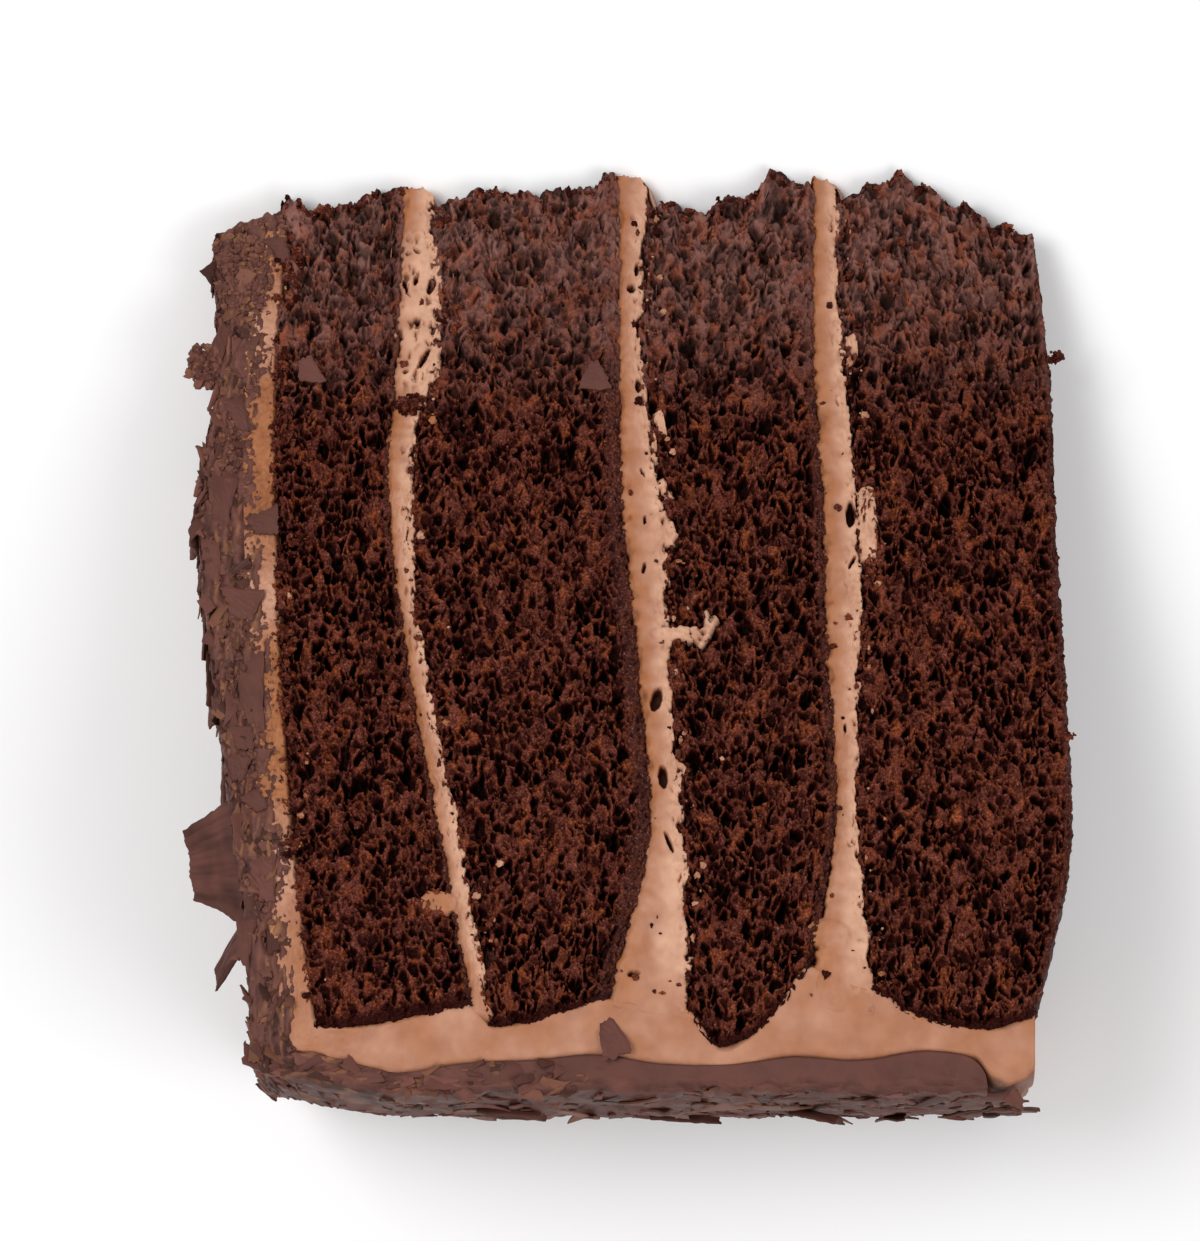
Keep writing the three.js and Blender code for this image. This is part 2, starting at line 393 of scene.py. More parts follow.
def closed_skin(face: Surface, fine: tuple[int, int], coarse: tuple[int, int], rings: int) -> Skin:
    """A closed skin with a fine upper face and coarser walls and lower face.

    Args:
        face: gives the points and values for u across, v along and depth from 0 on the upper face to 1
            on the lower one.
        fine: how many steps the upper face has across and along.
        coarse: how many steps the walls and lower face have across and along.
        rings: how many rings of points the walls have, the last of them round the lower face.

    Returns:
        The upper grid, rings of wall points below its rim, and a grid that closes the last ring.
    """
    u, v = np.meshgrid(np.linspace(0, 1, fine[0] + 1), np.linspace(0, 1, fine[1] + 1))
    top, top_values = face(u, v, np.zeros_like(u))
    cu, cv = np.meshgrid(np.linspace(0, 1, coarse[0] + 1), np.linspace(0, 1, coarse[1] + 1))
    rim, rim_place = rim_of(*cu.shape)
    ring_u, ring_v = (np.tile(grid.ravel()[rim], (rings, 1)) for grid in (cu, cv))
    depths = np.linspace(0.0, 1.0, rings + 1)[1:, None]
    wall, wall_values = face(ring_u, ring_v, np.tile(depths, (1, len(rim))))
    floor, floor_values = face(cu, cv, np.ones_like(cu))

    top_rim, top_place = rim_of(*u.shape)
    count = len(rim)
    first = u.size
    inner = (np.arange(1, cu.shape[0] - 1)[:, None] * cu.shape[1] + np.arange(1, cu.shape[1] - 1)).ravel()
    numbers = np.empty(cu.size, np.int64)
    numbers[rim] = first + (rings - 1) * count + np.arange(count)
    numbers[inner] = first + rings * count + np.arange(len(inner))
    ring = first + np.arange(rings * count).reshape(rings, count)
    onward = np.roll(ring, -1, axis=1)
    walls = np.stack([ring[:-1], ring[1:], onward[1:], onward[:-1]], -1).reshape(-1, 4)
    quads = [grid_faces(*u.shape), walls, numbers[grid_faces(*cu.shape)][:, ::-1]]
    strip = zipped(top_rim, top_place, ring[0], rim_place)
    points = np.concatenate([top.reshape(-1, 3), wall.reshape(-1, 3), floor.reshape(-1, 3)[inner]])
    values = {
        key: np.concatenate([top_values[key].ravel(), wall_values[key].ravel(),
                             floor_values[key].ravel()[inner]])
        for key in top_values
    }
    return Skin(points, [np.concatenate(quads), strip], values)


# ---------------------------------------------------------------- finishes

class Finish(Enum):
    """The record's material slots."""

    SPONGE = "sponge"
    CREAM = "cream"
    COATING = "chocolate_coating"
    SHAVED = "shaved_chocolate"


Colour = tuple[float, float, float]


def shaded(colour: Colour, share: float) -> Colour:
    """A colour made darker, down to a share of itself."""
    return tuple(channel * share for channel in colour)


class Nodes:
    """A short way to write the nodes of a tree."""

    def __init__(self, tree: bpy.types.NodeTree) -> None:
        """Keeps the tree that the nodes go into."""
        self.tree = tree

    def fill(self, node: bpy.types.Node, inputs: dict) -> None:
        """Gives a node inputs that are values or sockets to link."""
        for key, value in inputs.items():
            if isinstance(value, bpy.types.NodeSocket):
                self.tree.links.new(value, node.inputs[key])
            else:
                node.inputs[key].default_value = value

    def add(self, kind: str, inputs: dict | None = None, **settings: object) -> bpy.types.Node:
        """A node of a kind, with its settings and inputs."""
        node = self.tree.nodes.new(kind)
        for key, value in settings.items():
            setattr(node, key, value)
        self.fill(node, inputs or {})
        return node

    def value(self, name: str) -> bpy.types.NodeSocket:
        """A per-point value of the mesh."""
        return self.add("ShaderNodeAttribute", attribute_name=name).outputs["Fac"]

    def ramp(self, source: bpy.types.NodeSocket, stops: dict[float, Colour]) -> bpy.types.NodeSocket:
        """A colour ramp with a colour at each place."""
        node = self.add("ShaderNodeValToRGB", {"Fac": source})
        elements = node.color_ramp.elements
        places = sorted(stops)
        while len(elements) < len(places):
            elements.new(0.5)
        for element, place in zip(elements, places):
            element.position = place
            element.color = (*stops[place], 1.0)
        return node.outputs["Color"]

    def mix(self, share: object, a: object, b: object, blend: str = "MIX") -> bpy.types.NodeSocket:
        """Two colours mixed by a share."""
        a, b = ((*end, 1.0) if isinstance(end, tuple) else end for end in (a, b))
        node = self.add("ShaderNodeMix", {0: share, 6: a, 7: b}, data_type="RGBA", blend_type=blend)
        return node.outputs[2]

    def times(self, colour: bpy.types.NodeSocket, factor: Colour) -> bpy.types.NodeSocket:
        """A colour times another one."""
        return self.mix(1.0, colour, factor, "MULTIPLY")

    def maths(self, operation: str, a: object, b: object) -> bpy.types.NodeSocket:
        """One number worked out from two."""
        return self.add("ShaderNodeMath", {0: a, 1: b}, operation=operation).outputs[0]

    def scaled(self, source: bpy.types.NodeSocket, low: float, high: float,
               to_low: float = 0.0, to_high: float = 1.0) -> bpy.types.NodeSocket:
        """A number moved from one range into another, and kept in it."""
        node = self.add("ShaderNodeMapRange", {"Value": source, "From Min": low, "From Max": high,
                                               "To Min": to_low, "To Max": to_high})
        return node.outputs["Result"]


def speckle_group() -> bpy.types.NodeTree:
    """A shared effect: fine grain from two noises on Object coordinates.

    It gives the grain's height, a mask of glints where that is highest, and a broad mottle.
    """
    group = bpy.data.node_groups.new("fine_grain", "ShaderNodeTree")
    face = group.interface
    for name, default in (("Pitch", 4000.0), ("Glints", 0.64)):
        face.new_socket(name, in_out="INPUT", socket_type="NodeSocketFloat").default_value = default
    for name in ("Height", "Glint", "Mottle"):
        face.new_socket(name, in_out="OUTPUT", socket_type="NodeSocketFloat")
    nodes = Nodes(group)
    entry = nodes.add("NodeGroupInput").outputs
    where = nodes.add("ShaderNodeTexCoord").outputs["Object"]
    pitches = (entry["Pitch"], nodes.maths("MULTIPLY", entry["Pitch"], 0.12))
    grain, broad = (
        nodes.add("ShaderNodeTexNoise", {"Vector": where, "Scale": pitch, "Detail": 2.0}).outputs["Fac"]
        for pitch in pitches
    )
    glint = nodes.maths("GREATER_THAN", grain, entry["Glints"])
    nodes.add("NodeGroupOutput", {"Height": grain, "Glint": glint, "Mottle": broad})
    return group


GRAIN = speckle_group()


class MaterialNodes(Nodes):
    """The nodes of one material, with the fine grain in it."""

    def __init__(self, name: str, pitch: float, glints: float) -> None:
        """Makes the material and its grain."""
        self.material = bpy.data.materials.new(name)
        self.material.use_nodes = True
        super().__init__(self.material.node_tree)
        self.grain = self.add("ShaderNodeGroup", {"Pitch": pitch, "Glints": glints}, node_tree=GRAIN).outputs

    def mottled(self, colour: bpy.types.NodeSocket, factor: Colour) -> bpy.types.NodeSocket:
        """A colour that is multiplied by another in the grain's broad patches."""
        return self.mix(self.scaled(self.grain["Mottle"], 0.3, 0.7), self.times(colour, factor), colour)

    def finish(self, bump: float, inputs: dict) -> bpy.types.Material:
        """Gives the shader its inputs and a bump of the grain, and hands the material out."""
        relief = self.add("ShaderNodeBump", {"Height": self.grain["Height"], "Strength": bump,
                                             "Distance": 0.0002})
        self.fill(self.tree.nodes["Principled BSDF"], inputs | {"Normal": relief.outputs[0]})
        return self.material


@dataclass(frozen=True)
class SpongeFinish:
    """Moist dark sponge, greyer where it was pressed, with painted light and shade: near-black pits and
    red-brown lit tops by height, painted glints, and a painted haze at the tip.
    """

    # Painted light and shade: the top colours are painted highlights, the pit colour is painted shade, the
    # speck colour is painted glints, and pale is the tip's painted haze and smeared cream.
    high: Colour = (0.145, 0.037, 0.023)
    middle: Colour = (0.036, 0.0052, 0.0032)
    pit: Colour = (0.006, 0.0010, 0.0007)
    red_highlight: Colour = (0.215, 0.050, 0.016)
    pressed: Colour = (0.040, 0.0150, 0.0135)
    pale: Colour = (0.262, 0.124, 0.102)
    painted_glint: Colour = (0.27, 0.15, 0.13)

    def material(self) -> bpy.types.Material:
        """Colour by height, a painted shade in the pits and a painted highlight on the tops, tinted in
        patches, with small painted glints.
        """
        nodes = MaterialNodes("sponge_crumb", 3400.0, 0.67)
        height, tint = nodes.value("high"), nodes.value("tint")
        # Painted shade and highlight: both ramps run from near-black in the pits to a lit top colour,
        # red-brown in some patches.
        body, highlight_ramp = (nodes.ramp(height, {0.0: self.pit, 0.5: self.middle, 1.0: top})
                       for top in (self.high, self.red_highlight))
        colour = nodes.mix(nodes.scaled(tint, 0.4, 0.85), body, highlight_ramp)
        colour = nodes.mix(nodes.value("pressed"), colour, self.pressed)
        # Painted shade and light of crumb too fine for the mesh: darker where the fine grain is low, lighter
        # where it is high.
        colour = nodes.mix(nodes.scaled(nodes.grain["Height"], 0.36, 0.64),
                           nodes.times(colour, (0.42, 0.38, 0.38)), nodes.times(colour, (1.3, 1.28, 1.28)))
        # Pale: a painted haze, a veil of light over the soft tip, with its own painted pit shade by height;
        # where smears lie it is smeared cream.
        pale = nodes.ramp(height, {0.0: shaded(self.pale, 0.2), 0.5: shaded(self.pale, 0.47), 1.0: self.pale})
        pale = nodes.mix(nodes.scaled(tint, 0.4, 0.9), pale, nodes.times(pale, (1.1, 0.68, 0.46)))
        colour = nodes.mix(nodes.value("pale"), colour, pale)
        # Painted glints: small pale specks of colour where the grain peaks on the crumb's high places.
        lit = nodes.maths("MULTIPLY", nodes.grain["Glint"], nodes.scaled(height, 0.4, 0.9, 0.0, 0.55))
        colour = nodes.mix(lit, colour, self.painted_glint)
        return nodes.finish(0.6, {"Base Color": colour, "Roughness": 0.6, "Specular IOR Level": 0.05})


@dataclass(frozen=True)
class CreamFinish:
    """Soft mocha buttercream, darker at its edge beside the sponge, more tan where the sponge soaked it and
    paler where it tore, with painted shade where its relief sinks.
    """

    left_edge_dark: Colour = (0.200, 0.062, 0.026)
    soaked: Colour = (0.400, 0.152, 0.060)
    body: Colour = (0.465, 0.217, 0.130)
    torn: Colour = (0.660, 0.375, 0.250)
    # The hole colour is a painted shade for the cream's holes, cracks and sunk edges.
    hole: Colour = (0.10, 0.028, 0.014)

    def material(self) -> bpy.types.Material:
        """Colour from the soaked side to the torn side, with painted shade in its holes, cracks and sunk
        edges.
        """
        nodes = MaterialNodes("mocha_cream", 2600.0, 0.7)
        stops = {0.0: self.left_edge_dark, 0.14: self.soaked, 0.5: self.body, 1.0: self.torn}
        colour = nodes.mottled(nodes.ramp(nodes.value("tint"), stops), (0.84, 0.8, 0.78))
        # Painted shade: the colour turns to the hole colour where high is low, wherever the relief sinks.
        colour = nodes.mix(nodes.scaled(nodes.value("high"), 0.75, 0.1), colour, self.hole)
        return nodes.finish(0.22, {
            "Base Color": colour,
            "Roughness": nodes.scaled(nodes.grain["Glint"], 0.0, 1.0, 0.52, 0.3),
            "Specular IOR Level": 0.22,
            "Subsurface Weight": 0.12,
            "Subsurface Radius": (1.0, 0.5, 0.3),
            "Subsurface Scale": 0.0012,
        })


@dataclass(frozen=True)
class ChocolateFinish:
    """Set chocolate, as a smooth coating or as dull shavings."""

    name: str
    low: Colour
    body: Colour
    high: Colour
    streak: Colour
    roughness: float = 0.58

    def material(self) -> bpy.types.Material:
        """Colour by height with tan streaks, and a fine satin grain; on the coat the height follows its
        relief, a painted shade in the chips and painted light on the strata, and on loose pieces it is a
        random tone.
        """
        nodes = MaterialNodes(self.name, 2200.0, 0.68)
        colour = nodes.ramp(nodes.value("high"), {0.0: self.low, 0.5: self.body, 1.0: self.high})
        colour = nodes.mix(nodes.scaled(nodes.value("tint"), 0.55, 0.95), colour, self.streak)
        rough = nodes.scaled(nodes.grain["Mottle"], 0.3, 0.7, self.roughness - 0.08, self.roughness + 0.1)
        return nodes.finish(0.2, {"Base Color": nodes.mottled(colour, (0.78, 0.75, 0.75)),
                                  "Roughness": rough, "Specular IOR Level": 0.16})


MATERIALS = {
    Finish.SPONGE: SpongeFinish().material(),
    Finish.CREAM: CreamFinish().material(),
    Finish.COATING: ChocolateFinish(
        "chocolate_coating", (0.030, 0.010, 0.007), (0.125, 0.048, 0.037), (0.185, 0.072, 0.052),
        (0.30, 0.135, 0.062)).material(),
    Finish.SHAVED: ChocolateFinish(
        "shaved_chocolate", (0.055, 0.020, 0.014), (0.115, 0.043, 0.032), (0.175, 0.066, 0.050),
        (0.24, 0.100, 0.050)).material(),
}


def settle(skin: Skin, name: str, slot: Finish, *nodes: str, smooth: bool = True) -> None:
    """Makes a skin a piece that rides on the slice, takes a slot and stands for its CAD nodes."""
    piece = skin.piece(name, MATERIALS[slot], smooth)
    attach(piece, "root")
    if nodes:
        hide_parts(*nodes)


# ---------------------------------------------------------------- sponge

@dataclass(frozen=True)
class Layer:
    """What the sponge layers and the fillings share: each lies between two neighbouring layer lines."""

    number: int
    before: ClassVar[int]

    def lines(self) -> tuple[LayerLine, LayerLine]:
        """The layer's two bounding lines."""
        first = 2 * self.number - self.before
        return LAYER_LINES[first], LAYER_LINES[first + 1]

    def steps(self, spare: float, pitch: tuple[float, float]) -> tuple[int, int]:
        """How many steps a face has across the layer's mean width and some to spare, and along it."""
        left, right = self.lines()
        width = float(np.mean(np.array(right.x) - np.array(left.x))) + spare
        return round(width / pitch[0]), round((left.end - left.tip) / pitch[1])


@dataclass(frozen=True)
class SpongeLayer(Layer):
    """One sponge layer, with an open crumb on its upper cut face, a torn tip and a darker outer end.

    tip and outer are the radii of its two ends at even stations across the layer. soft_zone is where the
    broad soft crumb of the tip starts to fade, and where it is gone.
    """

    before: ClassVar[int] = 2
    tip: tuple[float, ...]
    outer: tuple[float, ...]
    press: float = 0.4
    bare_side: bool = False
    smears: tuple["Smear", ...] = ()
    pitch: tuple[float, float] = (0.17, 0.22)
    overlap: float = 0.9
    soft_zone: tuple[float, float] = (14.0, 42.0)

    @property
    def right_over(self) -> float:
        """How far the layer reaches past its right line; not at all at the bare underside."""
        return 0.0 if self.bare_side else self.overlap

    def softness(self, r: Array) -> Array:
        """1 at the tip, where the crumb is soft and broad, and 0 past the soft zone."""
        return 1.0 - smoothstep(r, *self.soft_zone)

    def outline(self, u: Array, v: Array) -> tuple[Array, Array, Array, Array]:
        """x and r of the layer at u across and v along, and the distances in from its two sides."""
        left, right = self.lines()
        left_x, left_r = left.at(v)
        right_x, right_r = right.at(v)
        width = right_x - left_x + self.overlap + self.right_over
        x = left_x - self.overlap + width * u
        base = left_r + (right_r - left_r) * u
        seed = 40 * self.number
        stations = np.stack([x / 2.4, np.full_like(x, 0.37)], -1)
        lobes = 2.0 * pits(stations, seed, 0.85, 0.3, 0.75)
        lobes += 0.9 * pits(stations * 2.7, seed + 5, 0.8, 0.3, 0.7)
        start = spline(self.tip, u) + 1.2 - lobes + 0.6 * noise(stations * 0.5, seed + 9)
        start = start + 0.5 * fractal(stations * 4.0, seed + 12)
        stop = spline(self.outer, u) + 0.35 * fractal(stations * 0.7, seed + 7)
        stop = stop + 0.2 * noise(stations * 5.0, seed + 8)
        low = left.tip + (right.tip - left.tip) * u
        high = left.end + (right.end - left.end) * u
        r = start + (stop - start) * (base - low) / (high - low)
        return x, r, width * u, width * (1.0 - u)

    def crumb(self, x: Array, r: Array, tight: Array) -> tuple[Array, Array]:
        """The open crumb's relief in millimetres and its patchy tint.

        The relief is minus the depth of three sizes of air cell, the broadest only in the soft zone, and of
        a few large pits, all stretched along r and bent by noise, plus grains. tight is 1 where the crumb
        is pressed and keeps only the small cells.
        """
        seed = 1000 * self.number
        plane = bent(bent(np.stack([x, r / 1.5], -1), seed, 0.55, 1.6), seed + 2, 0.2, 0.5)
        patch = 0.5 + 0.5 * noise(plane / 6.0, seed + 4)
        wall, own = foam(plane / 1.1, seed + 5)
        small_wall, small_own = foam(plane / 0.56, seed + 9)
        broad_wall, broad_own = foam(plane / 1.9, seed + 40)
        soft = self.softness(r)
        cells = 2.3 * smoothstep(wall, 0.05, 0.5) * own * (0.45 + 1.0 * patch) * (1.0 - 0.55 * soft)
        cells += 1.0 * soft * smoothstep(broad_wall, 0.05, 0.55) * broad_own
        small = 1.0 * smoothstep(small_wall, 0.04, 0.45) * small_own * (1.0 - 0.2 * soft)
        large = 2.6 * 2.3 * pits(plane / 2.6, seed + 13, 0.36, 0.12, 0.34) * (1.0 - 0.4 * soft)
        open_face = 1.0 - 0.9 * tight
        relief = 0.45 - open_face * (cells + large) - (0.55 + 0.45 * open_face) * small
        relief += open_face * 0.4 * fractal(plane / 3.4, seed + 24) + 0.2 * noise(plane / 0.28, seed + 27)
        relief += (0.4 * tight + 0.3 * soft) * noise(plane / 0.5, seed + 29)
        tint = 0.5 + 0.45 * fractal(plane / 1.9, seed + 30) + 0.3 * noise(plane / 0.35, seed + 34)
        return relief, tint

    def face(self, u: Array, v: Array, depth: Array) -> tuple[Array, dict[str, Array]]:
        """Points and values of the layer for closed_skin."""
        x, r, from_left, from_right = self.outline(u, v)
        seed = 1000 * self.number
        plane = np.stack([x, r], -1)
        wander = 0.5 * noise(plane / 2.0, seed + 80)
        inward = from_right - self.right_over + wander
        pressed = 1.0 - smoothstep(inward, 0.4 * self.press, 1.1 * self.press)
        crust = 1.0 - smoothstep(spline(self.outer, u) - r + 0.8 * wander, 0.5, 2.2)
        relief, tint = self.crumb(x, r, np.maximum(pressed, 0.8 * crust))
        upper = depth == 0.0
        room = WEDGE.room(r)
        broad = fractal(plane / np.array([6.0, 11.0]), seed + 90)
        # high sets the colour by height: a painted shade in the pits and painted light on the tops, darker at
        # the outer crust.
        high = np.clip((relief + 1.25) / 1.7 + 0.13 * broad, 0.0, 1.0) * (1.0 - 0.55 * crust)
        soft = self.softness(r) * (0.8 + 0.5 * noise(plane / np.array([2.0, 6.0]), seed + 92))
        relief = np.maximum(relief, -3.0) * (0.3 + 0.7 * room)
        frayed = 1.1 + 0.8 * noise(plane / 2.9, seed + 84) + 0.9 * noise(plane / 0.6, seed + 86)
        frayed = np.clip(frayed, 0.45, 2.8)
        sink = 1.8 * (1.0 - smoothstep(from_left * frayed, 0.0, self.overlap))
        if self.bare_side:
            sink = sink + 0.7 * (1.0 - smoothstep(from_right, 0.0, 0.8)) ** 2
        else:
            sink = sink + 1.8 * (1.0 - smoothstep(from_right * frayed, 0.0, self.overlap))
        flat = np.zeros_like(x)
        for smear in self.smears:
            within = smear.inside(x, r) + 0.5 * noise(plane / 1.4, seed + 88)
            flat = np.maximum(flat, smoothstep(within, 0.0, 0.7))
        relief = relief + (0.25 - relief) * 0.9 * flat
        lift = np.where(upper, relief - sink * (0.2 + 0.8 * room), 0.0)
        shaken = bent(plane, seed + 60, 0.16, 0.4) * upper[..., None] + plane * ~upper[..., None]
        share = 1.0 - depth
        height = share * WEDGE.height(r)
        at_tip = np.stack([x, height], -1)
        knobbly = 0.5 * fractal(at_tip / 1.3, seed + 62) - 0.8 * pits(at_tip / 1.5, seed + 66, 0.6, 0.15, 0.5)
        shaken[..., 1] -= np.where(upper, 0.0, knobbly) * (1.0 - smoothstep(v, 0.0, 0.012))
        points = WEDGE.place(shaken[..., 0], shaken[..., 1], share, lift)
        if self.bare_side:
            side = smoothstep(u, 0.985, 1.0) * smoothstep(r, 14.0, 30.0)
            wall = np.stack([r, height], -1)
            rough = 0.35 * fractal(wall / 1.6, seed + 70) - 0.5 * pits(wall / 1.4, seed + 75, 0.5, 0.1, 0.4)
            points[..., 0] += side * rough
        values = {
            "high": np.where(upper, high, 0.55),
            "tint": np.clip(tint, 0.0, 1.0),
            "pressed": np.where(upper, 0.55 * pressed, 0.5),
            # pale: painted haze light over the soft tip, and cream where smears lie.
            "pale": np.where(upper, np.maximum(np.clip(0.8 * soft, 0.0, 1.0), 0.9 * flat), 0.0),
        }
        return points, values

    def build(self) -> None:
        """Makes the layer."""
        rings, coarse = (29, (36, 160)) if self.bare_side else (11, (90, 90))
        skin = closed_skin(self.face, self.steps(2.0 * self.overlap, self.pitch), coarse, rings)
        settle(skin, f"sponge_layer_{self.number}", Finish.SPONGE, f"sponge_{self.number}")


# ---------------------------------------------------------------- cream fillings

@dataclass(frozen=True)
class Hole:
    """An air hole in the cream: its middle, its two radii, and how far it leans along X for each mm of r."""

    x: float
    r: float
    across: float
    along: float
    lean: float = 0.0

    def inside(self, x: Array, r: Array) -> Array:
        """1 at the hole's middle, 0 at its rim and less outside."""
        dx, dr = x - self.x, r - self.r
        return 1.0 - np.hypot((dx - self.lean * dr) / self.across, dr / self.along)


@dataclass(frozen=True)
class Smear:
    """A smear of cream outside the filling's edges, from one point of the cut face to another."""

    start: tuple[float, float]
    stop: tuple[float, float]
    radius: float
    lift: float = 0.3

    def inside(self, x: Array, r: Array) -> Array:
        """How far a point lies inside the smear: its radius less the distance to its middle line."""
        (x0, r0), (x1, r1) = self.start, self.stop
        run_x, run_r = x1 - x0, r1 - r0
        t = np.clip(((x - x0) * run_x + (r - r0) * run_r) / (run_x**2 + run_r**2), 0.0, 1.0)
        return self.radius - np.hypot(x - x0 - t * run_x, r - r0 - t * run_r)


@dataclass(frozen=True)
class Reach:
    """A stretch of a filling where its mesh reaches further out, left if the width is negative."""

    r: float
    width: float
    run: float


def cream_tone(plane: Array) -> Array:
    """The broad changes in the cream's tint that run on from the fillings into the coat."""
    return 0.2 * fractal(plane / 5.0, 7230)

@dataclass(frozen=True)
class Filling(Layer):
    """One cream filling: a smooth edge on the side of the layer above it and a torn one below.

    porous is the stretch of r in which the cream is full of small holes, margins are how far the mesh
    reaches past the two lines, and tail how far it runs on into the coat.
    """

    before: ClassVar[int] = 1
    holes: tuple[Hole, ...] = ()
    smears: tuple[Smear, ...] = ()
    reaches: tuple[Reach, ...] = ()
    porous: tuple[float, float] = (0.0, 1.0)
    margins: tuple[float, float] = (0.9, 1.9)
    pitch: tuple[float, float] = (0.16, 0.2)
    tail: float = 2.2

    def face(self, u: Array, v: Array, depth: Array) -> tuple[Array, dict[str, Array]]:
        """Points and values of the filling for closed_skin."""
        left, right = self.lines()
        seed = 5000 + 300 * self.number
        length = left.end - left.tip
        along = v * (1.0 + self.tail / length)
        left_x, left_r = left.at(along)
        right_x, right_r = right.at(along)
        past = np.maximum(along - 1.0, 0.0) * length
        row = np.stack([left_r, np.zeros_like(left_r)], -1)
        edge_left = left_x + 0.3 * fractal(row / 5.0, seed)
        low, high = left_x - self.margins[0], right_x + self.margins[1]
        for reach in self.reaches:
            wide = reach.width * np.exp(-(((left_r - reach.r) / reach.run) ** 2))
            low, high = low + np.minimum(wide, 0.0), high + np.maximum(wide, 0.0)
        x = low + (high - low) * u
        stations = np.stack([x / 1.5, np.zeros_like(x)], -1)
        torn = 0.8 * fractal(stations, seed + 13) * (1.0 - smoothstep(v, 0.0, 0.2))
        out = np.maximum(np.maximum(edge_left - x, x - right_x), 0.0)
        torn = torn + 3.5 * smoothstep(out, 0.0, 0.8) * (1.0 - smoothstep(v, 0.0, 0.12))
        r = left_r + (right_r - left_r) * u + past + torn
        plane = np.stack([x, r], -1)
        long_plane = plane / np.array([1.0, 1.7])
        from_right = right_x - x + 0.75 * fractal(long_plane / 2.0, seed + 5)
        from_right += 0.2 * noise(plane / 0.45, seed + 9)
        from_left = x - edge_left + 0.3 * fractal(plane / 1.3, seed + 15)
        inside = np.minimum(from_left, from_right)
        lift = np.zeros_like(x)
        for smear in self.smears:
            within = smear.inside(x, r) + 0.3 * fractal(plane / 0.8, seed + 17, 2)
            lift = np.maximum(lift, smear.lift * smoothstep(within, 0.0, 0.6))
            inside = np.maximum(inside, within)
        ragged = 1.0 - smoothstep(from_right, 0.2, 2.2)
        relief = 0.16 * fractal(plane / 2.5, seed + 20, 2) + 0.15 + lift
        relief -= 0.6 * (1.0 - smoothstep(from_left, -0.3, 1.2))
        relief += (0.05 + 0.28 * ragged) * fractal(long_plane / 0.55, seed + 24, 2)
        wall, own = foam(bent(long_plane, seed + 26, 0.3, 0.8) / 0.9, seed + 28)
        cracks = noise(bent(plane, seed + 30, 0.3, 0.8) / np.array([0.5, 1.6]), seed + 32)
        relief -= 1.1 * ragged * smoothstep(cracks, 0.45, 0.8)
        zone = smoothstep(r, self.porous[0], self.porous[0] + 4.0)
        zone = zone * (1.0 - smoothstep(r, self.porous[1] - 4.0, self.porous[1]))
        relief -= 1.0 * zone * smoothstep(own, 0.35, 0.6) * smoothstep(wall, 0.15, 0.6)
        hollow = np.zeros_like(x)
        for hole in self.holes:
            away = hole.inside(x, r) + 0.12 * noise(plane / 0.7, seed + 40)
            hollow = np.maximum(hollow, smoothstep(away, -0.05, 0.3))
        relief -= 2.8 * hollow
        edge = 1.0 - smoothstep(inside, -0.3, 0.22)
        relief -= 2.4 * edge + 1.5 * smoothstep(past, 0.4, 1.9)
        upper = depth == 0.0
        raised = np.where(upper, relief * (0.25 + 0.75 * WEDGE.room(r)), 0.0)
        points = WEDGE.place(x, r, 1.0 - depth, raised)
        width = np.maximum(right_x - edge_left, 0.5)
        # The tint runs from the darker left edge, through tan, to the paler torn side.
        tint = 0.14 * smoothstep(from_left, -0.2, 0.7) + 0.75 * smoothstep((x - edge_left) / width, 0.1, 0.9)
        tint = tint + 0.2 * fractal(plane / 2.2, seed + 50, 2) * smoothstep(from_left, 0.2, 0.9)
        tint = tint + 0.25 * smoothstep(r, 85.0, 100.0) * (1.0 - smoothstep(r, 104.0, 114.0)) + 0.4 * zone
        ending = smoothstep(along * length, length - 8.0, length + 0.6)
        tint = tint + (SIDE_TINT + cream_tone(plane) - tint) * ending
        shade = np.clip((relief + 1.2) / 1.2, 0.0, 1.0)
        values = {"high": np.where(upper, shade, 0.9), "tint": np.clip(tint, 0.0, 1.0)}
        return points, values

    def build(self) -> None:
        """Makes the filling."""
        skin = closed_skin(self.face, self.steps(sum(self.margins) + 1.5, self.pitch), (8, 90), 11)
        settle(skin, f"cream_filling_{self.number}", Finish.CREAM, f"filling_{self.number}")


# ---------------------------------------------------------------- coats

